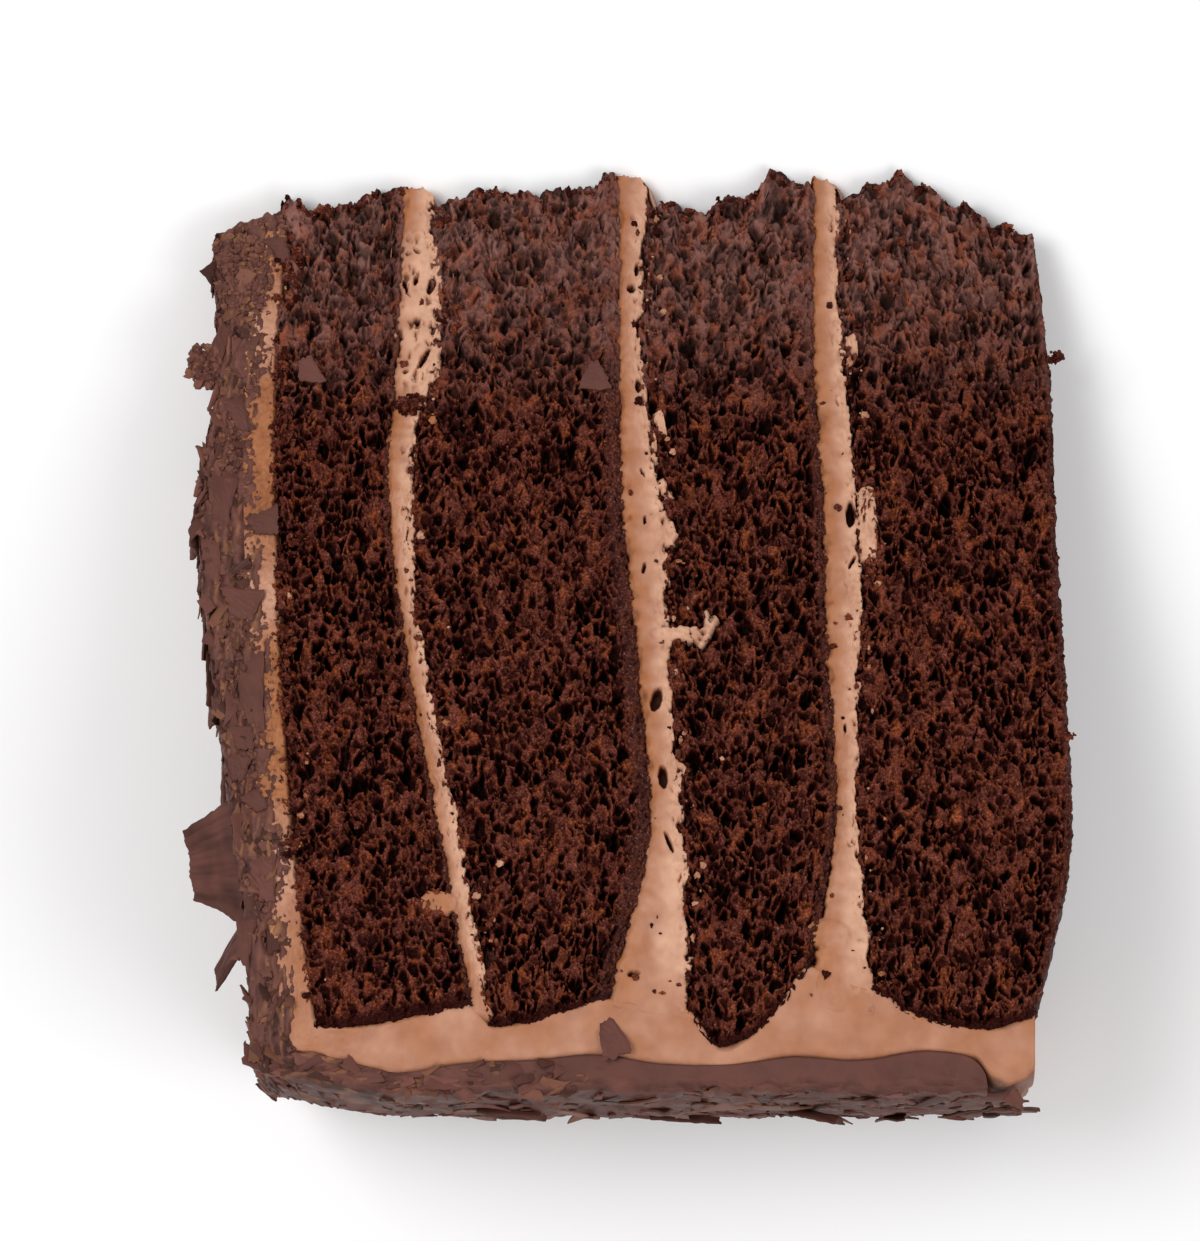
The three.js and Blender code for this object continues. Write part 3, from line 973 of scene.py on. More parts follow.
class CoatPath:
    """The line under the coats: over the cake's top from the tip, round its edge and down its side.

    bend is 0 where the coat faces the cake's top and 1 where it faces its side, and along is the way
    covered since the tip, in millimetres.
    """

    def __init__(self, sponges: tuple[SpongeLayer, ...]) -> None:
        """Works the line out from the first layer line and the sponges' outer ends."""
        share = np.linspace(0.0, 1.0, 400)
        x, r = LAYER_LINES[0].at(share)
        top_x, top_r = x[-1], r[-1]
        bend = 0.5 * smoothstep(r, top_r - WEDGE.edge_run, top_r)
        xs, rs, bends = [x], [r], [bend]
        for sponge in sponges:
            left, right = sponge.lines()
            across = np.linspace(0.0, 1.0, 80)
            ox = left.x[-1] + (right.x[-1] - left.x[-1]) * across
            xs.append(ox)
            rs.append(spline(sponge.outer, across))
            bends.append(0.5 + 0.5 * smoothstep(ox, top_x, top_x + WEDGE.edge_run))
        self.x, self.r, self.bend = (np.concatenate(part) for part in (xs, rs, bends))
        steps = np.hypot(np.diff(self.x), np.diff(self.r))
        self.along = np.concatenate([[0.0], np.cumsum(steps)])
        self.length = float(self.along[-1])

    def at(self, along: Array) -> tuple[Array, Array, Array]:
        """x, r and bend at distances along the line."""
        return tuple(np.interp(along, self.along, part) for part in (self.x, self.r, self.bend))

    def off(self, along: Array, thickness: Array, radius: Array) -> tuple[Array, Array]:
        """The line moved out by a thickness on top and out to a radius at the side."""
        x, r, bend = self.at(along)
        quarter = bend * math.pi / 2.0
        return x - thickness * np.cos(quarter), r + (radius - r) * np.sin(quarter)


@dataclass(frozen=True)
class Coat:
    """What the two coats share: a band that follows the path, t across it from inside to outside.

    rim is the radius at which the cream ends and the chocolate starts at even stations down the side,
    which start at x = rim_from and cover rim_run.
    """

    path: CoatPath
    pitch: float = 0.27
    rim: tuple[float, ...] = (123.0, 124.4, 123.1, 122.7, 122.1, 123.3, 123.4, 122.3, 122.7, 121.5, 122.4)
    rim_from: float = -38.0
    rim_run: float = 83.0

    def rim_at(self, along: Array) -> Array:
        """The rim's radius at distances along the path."""
        x, _, _ = self.path.at(along)
        return spline(self.rim, (x - self.rim_from) / self.rim_run)

    def slant(self, along: Array, t: Array) -> Array:
        """How much further from the tip the coat's outside starts than its inside, worn ragged."""
        start = self.span()[0]
        worn = 0.9 * fractal(np.stack([t * 5.0, np.full_like(t, 0.4)], -1), 7300)
        return (3.6 * t + worn) * (1.0 - smoothstep(along, start, start + 9.0))

    def relief(self, along: Array, t: Array, x: Array, r: Array) -> dict[str, Array]:
        """The upper face's relief and the values; each coat has its own."""
        raise NotImplementedError

    def band(self, along: Array, t: Array, share: Array) -> tuple[Array, Array]:
        """x and r of the band; each coat has its own."""
        raise NotImplementedError

    def span(self) -> tuple[float, float]:
        """Where the band starts and stops along the path."""
        raise NotImplementedError

    def face(self, u: Array, v: Array, depth: Array) -> tuple[Array, dict[str, Array]]:
        """Points and values of the coat for closed_skin."""
        start, stop = self.span()
        along = start + (stop - start) * v
        along = along + self.slant(along, u)
        share = 1.0 - depth
        x, r = self.band(along, u, share)
        drop = 0.4 * depth * WEDGE.height(r)
        bend = self.path.at(along)[2]
        values = self.relief(along, u, x - drop * (1.0 - bend), r + drop * bend)
        raised = values.pop("relief") * (0.25 + 0.75 * WEDGE.room(r))
        return WEDGE.place(x, r, share, np.where(depth == 0.0, raised, 0.0)), values


@dataclass(frozen=True)
class CreamCoat(Coat):
    """The cream over the top and down the side, thin and broken on top and thick at the side.

    shades is its tint along the top at even stations from the tip, from soaked to torn.
    """

    under: float = 1.0
    shades: tuple[float, ...] = (0.15, 0.2, 0.7, 0.2, 0.08, 0.08, 0.8, 0.2, 0.1, 0.2, 0.7, 0.5, 0.42)

    def span(self) -> tuple[float, float]:
        """From just behind the tip to the bare underside."""
        return 3.2, self.path.length

    def band(self, along: Array, t: Array, share: Array) -> tuple[Array, Array]:
        """The band from just under the sponge's edge out to the cream's own radius."""
        length = self.path.length
        swell = (WEDGE.foot_cream - 0.4) * smoothstep(along, length - 8.0, length - 4.5)
        lumps = noise(np.stack([along / 2.3, share * 9.0], -1), 7120)
        swell = swell * (1.0 + 0.3 * lumps) - 1.8 * smoothstep(along, length - 2.2, length)
        inner = self.path.off(along, -self.under, self.path.at(along)[1] - self.under)
        outer = self.path.off(along, WEDGE.gap + WEDGE.top_cream + 1.3, self.rim_at(along) + 0.3 + swell)
        return tuple(a + (b - a) * t for a, b in zip(inner, outer))

    def relief(self, along: Array, t: Array, x: Array, r: Array) -> dict[str, Array]:
        """Soft lumps, sunk at the inner edge where the sponge covers it."""
        plane = np.stack([x, r], -1)
        _, path_r, bend = self.path.at(along)
        width = self.under + np.where(bend < 0.5, WEDGE.top_cream + 1.3, WEDGE.cream_radius - path_r)
        from_inner = t * width
        relief = 0.12 + 0.16 * fractal(plane / 2.5, 7200, 2)
        relief += (0.05 + 0.3 * (1.0 - bend)) * fractal(plane / 0.6, 7210, 2)
        relief -= 1.5 * (1.0 - smoothstep(from_inner, 0.0, self.under))
        relief -= 1.0 * smoothstep(t, 0.9, 1.0) * bend
        relief -= 0.5 * pits(plane / 1.3, 7220, 0.2, 0.08, 0.25)
        tint = np.where(bend > 0.0, SIDE_TINT, spline(self.shades, along / TOP_RUN)) + cream_tone(plane)
        # high: painted shade in the cream's colour where its relief sinks.
        high = np.clip((relief + 1.3) / 1.3, 0.0, 1.0)
        return {"relief": relief, "high": high, "tint": np.clip(tint, 0.1, 1.0)}

    def build(self) -> None:
        """Makes the coat."""
        skin = closed_skin(self.face, (24, round(self.path.length / self.pitch)), (6, 220), 19)
        settle(skin, "cream_coating", Finish.CREAM, "cream_coat")


@dataclass(frozen=True)
class ChocolateCoat(Coat):
    """The set chocolate over the cream: flaky where it is cut on top, smoother where it is cut at the side.

    shown is how wide the cream shows beside it along the top, and thick how far out the coat reaches
    there, both at even stations from the tip.
    """

    shown: tuple[float, ...] = (0.1, 0.1, 1.2, 1.0, 0.3, 1.6, 1.9, 1.8, 0.6, 1.6, 0.3, 0.6, 0.7, 0.5, 1.2,
                                0.3, 1.0, 0.6, 2.6)
    thick: tuple[float, ...] = (9.9, 9.0, 8.1, 7.5, 8.6, 9.8, 9.2, 8.6, 8.1, 7.5, 7.1, 7.0, 9.2)

    def span(self) -> tuple[float, float]:
        """From a little behind the tip to a rounded end short of the underside."""
        return 2.0, self.path.length - 6.2

    def reach(self, along: Array) -> Array:
        """How far out the coat reaches on top, from the line under the coats."""
        return spline(self.thick, along / TOP_RUN)

    def surface(self, along: Array, height: Array) -> Array:
        """How far the outside swells and sinks: three sizes of noise along and up the coat."""
        wall = np.stack([along, height], -1)
        swell = 0.55 * fractal(wall / 7.0, 8000)
        swell = swell + 0.35 * np.abs(fractal(wall / np.array([2.6, 1.4]), 8010))
        return swell - 0.5 * pits(wall / np.array([3.4, 2.2]), 8020, 0.5, 0.1, 0.4)

    def band(self, along: Array, t: Array, share: Array) -> tuple[Array, Array]:
        """The band from just over the cream out to the coat's outside."""
        left = np.clip(1.0 - (self.span()[1] - along) / 3.4, 0.0, 1.0)
        ending = 1.0 - np.sqrt(1.0 - left**2)
        ragged = 0.5 * fractal(np.stack([along / 1.6, share * 2.0], -1), 7110)
        shown = np.clip(spline(self.shown, along / TOP_RUN) + ragged * (along < TOP_RUN), 0.1, 3.6)
        rim = self.rim_at(along) - 0.2
        inner = self.path.off(along, shown, rim + (WEDGE.cake_radius - 1.0 - rim) * ending)
        swell = self.surface(along, share * WEDGE.height(self.path.at(along)[1])) - 0.4
        outer = self.path.off(along, self.reach(along) + swell, WEDGE.cake_radius + swell)
        return tuple(a + (b - a) * t for a, b in zip(inner, outer))

    def relief(self, along: Array, t: Array, x: Array, r: Array) -> dict[str, Array]:
        """Broken strata along the top coat and soft waves at the side."""
        plane = np.stack([x, r], -1)
        bend = self.path.at(along)[2]
        flaky = 1.0 - smoothstep(along, 118.0, 140.0) * (0.35 + 0.65 * (1.0 - smoothstep(t, 0.55, 0.85)))
        swept = bent(plane, 8100, 0.5, 2.0)
        across = np.where(bend[..., None] < 0.5, np.array([0.9, 3.6]), np.array([3.6, 1.1]))
        strata = noise(swept / across, 8110)
        chips = pits(swept / (across * 1.1), 8120, 0.55, 0.15, 0.45)
        relief = 0.2 + 0.14 * fractal(plane / 3.5, 8130, 2) + 0.05 * noise(plane / 0.5, 8133)
        relief += flaky * (0.55 * strata - 0.9 * chips + 0.22 * fractal(plane / 0.7, 8140))
        relief -= 1.0 * (1.0 - smoothstep(t, 0.0, 0.1)) + 0.8 * smoothstep(t, 0.9, 1.0)
        tint = flaky * (0.5 + 0.5 * fractal(plane / across, 8150))
        # Painted shade and light: high follows the relief, darker in the chips and lighter on the strata.
        high = 0.5 + flaky * 0.5 * np.clip(strata - 1.2 * chips, -1.0, 1.0)
        return {"relief": relief, "high": np.clip(high, 0.0, 1.0), "tint": np.clip(tint, 0.0, 1.0)}

    def build(self) -> None:
        """Makes the coat."""
        start, stop = self.span()
        skin = closed_skin(self.face, (28, round((stop - start) / self.pitch)), (6, 330), 69)
        settle(skin, "chocolate_coating", Finish.COATING, "chocolate_coat")


# ---------------------------------------------------------------- shavings and crumbs

def flakes_skin(centres: Array, along: Array, across: Array, normals: Array, sizes: Array, curls: Array,
                seed: int, steps: tuple[int, int] = (6, 4), tapers: Array | None = None) -> Skin:
    """Many thin curled flakes as one skin.

    A flake is p = centre + a * length * i + b * width * j + n * (curl_i * i^2 + curl_j * j^2
    + thickness * k), with i, j and k from -0.5 to 0.5. Its four corners are moved at random and one end
    is narrower, so that it is an uneven chip of three or four sides, and its rim is thinner.
    Args:
        centres: each flake's middle.
        along: unit vectors along the flakes.
        across: unit vectors across them.
        normals: unit vectors out of them.
        sizes: length, width and thickness of each flake.
        curls: how far each flake's ends and sides lift for each square of i and j.
        seed: picks the outlines and shades.
        steps: how many steps a flake has along and across.
        tapers: how much narrower each flake is at its far end, or None for random ones.
    """
    rng = np.random.default_rng(seed)
    count = len(centres)
    i, j = np.meshgrid(np.linspace(-0.5, 0.5, steps[0] + 1), np.linspace(-0.5, 0.5, steps[1] + 1))
    rim = np.minimum(0.5 - np.abs(i), 0.5 - np.abs(j)) < 1e-6
    shares = np.stack([a * b for b in (0.5 - j, 0.5 + j) for a in (0.5 - i, 0.5 + i)])
    moved = np.einsum("kab,nkc->nabc", shares, rng.uniform(-0.22, 0.22, (count, 4, 2)))
    moved = moved + rng.uniform(-0.05, 0.05, moved.shape) * rim[None, :, :, None]
    ui, uj = i[None] + moved[..., 0], j[None] + moved[..., 1]
    tapers = rng.uniform(0.0, 0.85, count) if tapers is None else tapers
    uj = uj * (1.0 - tapers[:, None, None] * (i[None] + 0.5))
    centres, along, across, normals, dims, bends = (
        each[:, None, None, :] for each in (centres, along, across, normals, sizes, curls)
    )
    bow = bends[..., 0] * ui**2 + bends[..., 1] * uj**2
    flat = centres + along * (ui * dims[..., 0])[..., None] + across * (uj * dims[..., 1])[..., None]
    half = np.where(rim, 0.5, 1.0)[None] * dims[..., 2] / 2.0
    crinkle = rng.uniform(-0.06, 0.06, (count, *i.shape)) * dims[..., 2]
    layers = [flat + normals * (bow + crinkle + side * half)[..., None] for side in (-1.0, 1.0)]
    points = np.stack(layers, 1).reshape(-1, 3)
    points[:, 2] = np.maximum(points[:, 2], CLEAR)
    size = 2 * i.size
    faces = plate_faces(*i.shape)[None] + (np.arange(count) * size)[:, None, None]
    shade = np.repeat(rng.uniform(0.0, 1.0, count), size)
    tint = np.repeat(rng.uniform(0.0, 0.8, count), size)
    return Skin(points, [faces.reshape(-1, 4)], {"high": shade, "tint": tint})


def framed(normals: Array, heading: Array, turn: Array) -> tuple[Array, Array]:
    """Unit vectors along and across a surface: a heading made square to the normal, then turned on it."""
    along = heading - normals * (heading * normals).sum(-1, keepdims=True)
    along = along / np.linalg.norm(along, axis=-1, keepdims=True)
    across = np.cross(normals, along)
    cos, sin = np.cos(turn)[:, None], np.sin(turn)[:, None]
    return along * cos + across * sin, across * cos - along * sin


def tilted(normals: Array, amount: float, rng: np.random.Generator) -> Array:
    """Normals shaken by a random vector of a given size, as unit vectors again."""
    shaken = normals + amount * rng.normal(0.0, 1.0, normals.shape)
    return shaken / np.linalg.norm(shaken, axis=-1, keepdims=True)


@dataclass(frozen=True)
class Shavings:
    """Shaved chocolate that lies over one stretch of the coat, mostly flat on it."""

    name: str
    coat: ChocolateCoat
    count: int
    start: float
    stop: float
    seed: int
    spread: float = 0.1
    longest: float = 7.0
    proud: tuple[float, float] = (-0.75, 0.1)

    def build(self) -> None:
        """Makes the shavings."""
        rng = np.random.default_rng(self.seed)
        count = self.count
        path = self.coat.path
        stations = np.linspace(self.start, self.stop, 500)
        weights = 8.0 + WEDGE.height(path.at(stations)[1])
        along = rng.choice(stations, count, p=weights / weights.sum())
        _, path_r, bend = path.at(along)
        length = 1.8 + (self.longest - 1.8) * rng.uniform(0, 1, count) ** 2.0
        length = length * (1.0 - 0.55 * np.exp(-(((along - 120.0) / 14.0) ** 2)))
        length = length * (1.0 - 0.5 * np.exp(-(((along - 8.0) / 18.0) ** 2)))
        spare = 0.4 * length / WEDGE.height(path_r)
        share = 0.02 + (0.98 - spare) * rng.uniform(0.0, 1.0, count)
        here, ahead = (WEDGE.place(*self.coat.band(place, np.ones(count), share), share)
                       for place in (along, along + 0.5))
        quarter = bend * math.pi / 2.0
        angle = WEDGE.angle_at(path_r, share)
        radial = np.stack([np.zeros(count), -np.cos(angle), np.sin(angle)], -1)
        normals = radial * np.sin(quarter)[:, None]
        normals[:, 0] -= np.cos(quarter)
        normals = tilted(normals, self.spread, rng)
        a, b = framed(normals, ahead - here, rng.uniform(-math.pi, math.pi, count))
        width = np.minimum(length * rng.uniform(0.35, 0.85, count), 4.4)
        sizes = np.stack([length, width, rng.uniform(0.3, 0.6, count)], -1)
        curls = (length * rng.uniform(-0.25, 0.15, count), width * rng.uniform(-0.3, 0.3, count))
        centres = here + normals * rng.uniform(*self.proud, count)[:, None]
        reach = 0.3 + 0.62 * length * np.abs(a[:, 2]) + 0.62 * width * np.abs(b[:, 2])
        centres[:, 2] = np.maximum(centres[:, 2], reach)
        skin = flakes_skin(centres, a, b, normals, sizes, np.stack(curls, -1), self.seed)
        settle(skin, self.name, Finish.SHAVED, smooth=False)


@dataclass(frozen=True)
class Chip:
    """One broad flake on the upper cut face: its middle, size, turn in degrees and how proud it lies."""

    x: float
    r: float
    length: float
    width: float
    turn: float = 0.0
    proud: float = 0.5
    taper: float = 0.4


@dataclass(frozen=True)
class Chips:
    """The broad flakes of the cut face as one piece."""

    chips: tuple[Chip, ...]

    def build(self) -> None:
        """Makes the flakes."""
        rng = np.random.default_rng(31)
        x, r, length, width, turn, proud, taper = np.array([astuple(chip) for chip in self.chips]).T
        one = np.ones_like(x)
        here = WEDGE.place(x, r, one, proud)
        heading = WEDGE.place(x, r + 0.5, one, proud) - here
        normals = tilted(WEDGE.normals(r), 0.06, rng)
        a, b = framed(normals, heading, np.radians(turn))
        sizes = np.stack([length, width, 0.7 * one], -1)
        curls = np.stack([-0.2 * length, 0.25 * width], -1) * rng.uniform(0.0, 1.0, (len(x), 2))
        skin = flakes_skin(here, a, b, normals, sizes, curls, 33, (10, 8), taper)
        skin.values["high"] = 0.45 + 0.25 * skin.values["high"]
        skin.values["tint"] = 0.3 * skin.values["tint"]
        settle(skin, "broad_chips", Finish.SHAVED, smooth=False)


@dataclass(frozen=True)
class CutShavings:
    """Small shavings and curls that the knife left along the cut edge of the coat."""

    name: str
    coat: ChocolateCoat
    count: int
    start: float
    stop: float
    seed: int

    def build(self) -> None:
        """Makes the shavings."""
        rng = np.random.default_rng(self.seed)
        count = self.count
        one = np.ones(count)
        along = rng.uniform(self.start, self.stop, count)
        t = rng.uniform(0.15, 1.05, count)
        x, r = self.coat.band(along, t, one)
        lift = rng.uniform(-0.25, 0.3, count) * WEDGE.room(r)
        here = WEDGE.place(x, r, one, lift)
        heading = WEDGE.place(*self.coat.band(along + 0.5, t, one), one, lift) - here
        normals = tilted(WEDGE.normals(r), 0.3, rng)
        a, b = framed(normals, heading, rng.normal(0.0, 0.5, count))
        length = 0.9 + 3.4 * rng.uniform(0, 1, count) ** 2
        width = length * rng.uniform(0.25, 0.7, count)
        sizes = np.stack([length, width, rng.uniform(0.25, 0.5, count)], -1)
        curls = (length * rng.uniform(-0.3, 0.3, count), width * rng.uniform(-0.3, 0.3, count))
        skin = flakes_skin(here, a, b, normals, sizes, np.stack(curls, -1), self.seed)
        settle(skin, self.name, Finish.SHAVED, smooth=False)


@dataclass(frozen=True)
class Shard:
    """A large thin curled shard rooted on the coat, with the CAD model's own sizes."""

    number: int
    along: float
    share: float
    length: float
    width: float
    heading: float
    tilt: float
    curl: float
    thickness: float = 0.75
    taper: float = 0.4
    rough: float = 0.04

    def build(self, coat: ChocolateCoat) -> None:
        """Makes the shard: the coat's surface lifted by out * sin(tilt) + curl * side^2."""
        turned, lean = math.radians(self.heading), math.radians(self.tilt)
        i, j = np.meshgrid(np.linspace(0, 1, 25), np.linspace(-1, 1, 37))
        seed = 9000 + 10 * self.number
        edge = np.stack([i * 3.0, j * 2.0], -1)
        out = i * self.length * (1.0 + self.rough * fractal(edge + 5.0, seed) * i)
        across = j * self.width * (1.0 - self.taper * i) / 2.0 * (1.0 + self.rough * fractal(edge, seed + 3))
        flat_a = out * math.cos(lean) * math.cos(turned) - across * math.sin(turned)
        flat_b = out * math.cos(lean) * math.sin(turned) + across * math.cos(turned)
        ridges = fractal(np.stack([i * 0.9, j * self.width / 1.6], -1), seed + 12, 2)
        lift = out * math.sin(lean) + self.curl * (j**2 - 0.5) + 0.12 * fractal(edge * 1.5, seed + 6, 2)
        lift = lift + 0.14 * ridges
        rim = np.minimum(np.minimum(i, 1.0 - i) * self.length, (1.0 - np.abs(j)) * self.width / 2.0)
        half = self.thickness / 2.0 * (0.35 + 0.65 * smoothstep(rim, 0.0, 0.5)) / math.cos(lean)
        place = self.along + flat_a
        points = []
        for side in (-1.0, 1.0):
            up = lift + side * half - 0.2
            x, r = coat.path.off(place, coat.reach(place) + up, WEDGE.cake_radius + up)
            share = self.share + flat_b / (r * math.radians(WEDGE.angle))
            points.append(WEDGE.place(x, r, share).reshape(-1, 3))
        # Painted light and shade: lighter along the raised ridges, over a random broad tone.
        broad = np.tile((0.38 + 0.25 * fractal(edge, seed + 9, 2) + 0.3 * ridges).ravel(), 2)
        values = {"high": np.clip(broad, 0, 1), "tint": np.full_like(broad, 0.2)}
        skin = Skin(np.concatenate(points), [plate_faces(*i.shape)], values)
        settle(skin, f"large_shard_{self.number}", Finish.SHAVED, f"chocolate_shard_{self.number}")


def blob_shape() -> tuple[Array, Array]:
    """The points and triangles of a ball: an icosahedron split once."""
    mesh = bpy.data.meshes.new("ball")
    ball = bmesh.new()
    bmesh.ops.create_icosphere(ball, subdivisions=2, radius=1.0)
    ball.to_mesh(mesh)
    ball.free()
    points = np.empty(len(mesh.vertices) * 3, np.float32)
    mesh.vertices.foreach_get("co", points)
    corners = np.empty(len(mesh.loops), np.int32)
    mesh.loops.foreach_get("vertex_index", corners)
    bpy.data.meshes.remove(mesh)
    return points.reshape(-1, 3).astype(float), corners.reshape(-1, 3)


@dataclass(frozen=True)
class Crumbs:
    """Loose crumbs of one kind, as irregular little balls.

    spots gives their places on the upper cut face as (x, r) with how proud each stands.
    """

    name: str
    slot: Finish
    spots: Array
    sizes: Array
    seed: int
    shade: tuple[float, float] = (0.4, 1.0)

    def build(self) -> None:
        """Makes the crumbs: unit balls pushed about by noise, scaled and set in place."""
        rng = np.random.default_rng(self.seed)
        ball, triangles = blob_shape()
        count, size = len(self.spots), len(ball)
        rough = 1.0 + rng.uniform(-0.38, 0.38, (count, size, 1))
        stretch = rng.uniform(0.55, 1.25, (count, 1, 3))
        shapes = ball[None] * rough * stretch * self.sizes[:, None, None]
        x, r, lift = self.spots.T
        points = shapes + WEDGE.place(x, r, np.ones(count), lift)[:, None, :]
        points[..., 2] = np.maximum(points[..., 2], CLEAR)
        faces = (triangles[None] + (np.arange(count) * size)[:, None, None]).reshape(-1, 3)
        shade = np.repeat(rng.uniform(*self.shade, count), size)
        tint = np.repeat(rng.uniform(0.0, 0.8, count), size)
        values = {"high": shade, "tint": tint, "pressed": np.zeros_like(shade), "pale": np.zeros_like(shade)}
        skin = Skin(points.reshape(-1, 3), [faces], values)
        settle(skin, self.name, self.slot, smooth=False)


# ---------------------------------------------------------------- studio

@dataclass(frozen=True)
class Studio:
    """A plain pale floor, soft lights and the camera over the slice."""

    lean: float = 8.15
    distance: float = 1.0
    lens: float = 225.6
    target: Colour = (-0.00173, 0.00716, 0.025)
    floor_size: float = 3.0
    floor_colour: Colour = (0.96, 0.955, 0.957)
    sky: float = 0.52

    def add(self, name: str, data: bpy.types.ID, place: Colour = (0.0, 0.0, 0.0)) -> bpy.types.Object:
        """An object of the studio, in its place."""
        thing = bpy.data.objects.new(name, data)
        thing.location = place
        bpy.context.scene.collection.objects.link(thing)
        return thing

    def area(self, name: str, place: Colour, size: float, watts: float) -> None:
        """A soft square light that looks at the slice."""
        light = bpy.data.lights.new(name, "AREA")
        light.size = size
        light.energy = watts
        look = np.array((0.0, 0.0, 0.02)) - np.array(place)
        self.add(name, light, place).rotation_euler = Vector(look).to_track_quat("-Z", "Y").to_euler()

    def floor(self) -> None:
        """The floor under the slice."""
        half = self.floor_size / 2.0
        mesh = bpy.data.meshes.new("floor")
        corners = [(-half, -half, 0), (half, -half, 0), (half, half, 0), (-half, half, 0)]
        mesh.from_pydata(corners, [], [(0, 1, 2, 3)])
        material = bpy.data.materials.new("floor")
        material.use_nodes = True
        shader = material.node_tree.nodes["Principled BSDF"]
        shader.inputs["Base Color"].default_value = (*self.floor_colour, 1.0)
        shader.inputs["Roughness"].default_value = 0.8
        mesh.materials.append(material)
        self.add("floor", mesh)

    def camera(self) -> bpy.types.Object:
        """The camera, which leans a little from straight above the slice."""
        lean = math.radians(self.lean)
        x, y, z = self.target
        camera = bpy.data.cameras.new("camera")
        camera.lens = self.lens
        place = (x, y + self.distance * math.sin(lean), z + self.distance * math.cos(lean))
        eye = self.add("camera", camera, place)
        eye.rotation_euler = (-lean, 0.0, 0.0)
        return eye

    def build(self) -> None:
        """Makes the sky, the floor, the lights and the camera."""
        scene = bpy.context.scene
        scene.view_settings.view_transform = "Standard"
        world = bpy.data.worlds.new("studio")
        world.use_nodes = True
        sky = world.node_tree.nodes["Background"].inputs
        sky["Color"].default_value = (1.0, 1.0, 1.0, 1.0)
        sky["Strength"].default_value = self.sky
        scene.world = world
        self.floor()
        self.area("key", (-0.35, 0.25, 0.75), 0.35, 3.7)
        self.area("fill", (0.5, -0.2, 0.7), 0.5, 2.3)
        scene.camera = self.camera()


SPONGES = (
    SpongeLayer(1, (7.2, 8.0, 8.0, 6.8, 6.5), (118.8, 118.8, 118.0, 117.0, 116.1), 0.3,
                smears=(Smear((-44.6, 8.5), (-43.4, 12.6), 1.3),)),
    SpongeLayer(2, (8.6, 6.3, 6.3, 6.2, 4.4), (118.8, 118.5, 117.5, 116.5, 115.5), 2.3),
    SpongeLayer(3, (6.8, 8.5, 7.9, 4.0, 5.9), (117.0, 121.0, 120.0, 116.5, 111.5), 1.0),
    SpongeLayer(4, (7.9, 4.3, 6.6, 9.8, 12.2), (114.5, 117.5, 118.8, 118.8, 117.5), 1.2, bare_side=True),
)

FILLINGS = (
    Filling(
        1,
        porous=(11.0, 36.0),
        reaches=(Reach(25.0, 1.6, 9.0), Reach(103.0, -3.2, 4.0)),
        holes=(Hole(-26.3, 20.0, 0.5, 1.2, -0.2), Hole(-28.3, 19.2, 0.3, 0.6),
               Hole(-29.7, 19.8, 0.3, 0.7, 0.3), Hole(-28.1, 24.7, 0.5, 0.5),
               Hole(-30.6, 27.5, 0.45, 0.8, -0.3), Hole(-27.2, 30.0, 0.45, 1.5, -0.5),
               Hole(-29.5, 31.7, 0.3, 0.4), Hole(-26.0, 26.0, 0.3, 0.6), Hole(-26.6, 98.0, 0.35, 0.9)),
        smears=(Smear((-26.6, 17.5), (-26.8, 31.5), 1.9, 0.1),
                Smear((-25.7, 103.0), (-24.0, 103.2), 1.7, 0.8),
                Smear((-29.0, 66.5), (-30.5, 67.0), 0.9), Smear((-29.2, 44.0), (-28.7, 62.0), 0.8, 0.15)),
    ),
    Filling(
        2,
        reaches=(Reach(66.8, 7.6, 4.5), Reach(52.0, 1.6, 9.0)),
        holes=(Hole(-0.3, 20.2, 0.6, 0.6), Hole(0.6, 33.6, 0.42, 0.95), Hole(0.4, 17.6, 0.3, 0.8),
               Hole(2.85, 76.1, 0.78, 1.6, -0.2), Hole(3.65, 86.4, 0.66, 1.55, 0.05),
               Hole(1.1, 45.5, 0.2, 0.5, 0.5), Hole(1.4, 52.0, 0.2, 0.6), Hole(1.3, 58.5, 0.25, 0.7, -0.2),
               Hole(4.4, 95.0, 0.3, 1.4, 0.4), Hole(-0.1, 112.3, 0.8, 0.4)),
        smears=(Smear((3.0, 67.4), (7.6, 67.4), 1.1, 0.5), Smear((8.6, 69.0), (10.7, 64.8), 0.55, 0.6),
                Smear((9.2, 67.6), (9.4, 64.6), 0.45, 0.6), Smear((3.4, 38.0), (3.9, 39.5), 0.95),
                Smear((3.7, 47.0), (4.4, 49.0), 0.7), Smear((3.6, 52.0), (4.6, 54.5), 1.2),
                Smear((3.0, 56.2), (3.6, 57.2), 0.9), Smear((5.2, 85.0), (5.9, 85.4), 0.9)),
    ),
    Filling(
        3,
        reaches=(Reach(52.0, 2.0, 6.0), Reach(107.0, -3.2, 4.0)),
        holes=(Hole(27.4, 8.9, 0.35, 0.8), Hole(27.3, 18.8, 0.3, 0.7, 0.2), Hole(26.8, 22.2, 0.4, 0.4),
               Hole(27.9, 51.2, 0.66, 1.8), Hole(28.0, 57.6, 0.25, 0.9, -0.5), Hole(26.9, 80.0, 0.2, 0.6)),
        smears=(Smear((23.6, 107.0), (25.5, 107.5), 2.0, 0.4), Smear((29.9, 48.5), (30.2, 56.5), 1.25),
                Smear((28.2, 27.6), (28.8, 28.6), 0.9, 0.5), Smear((28.4, 59.5), (28.6, 60.5), 0.6)),
    ),
)

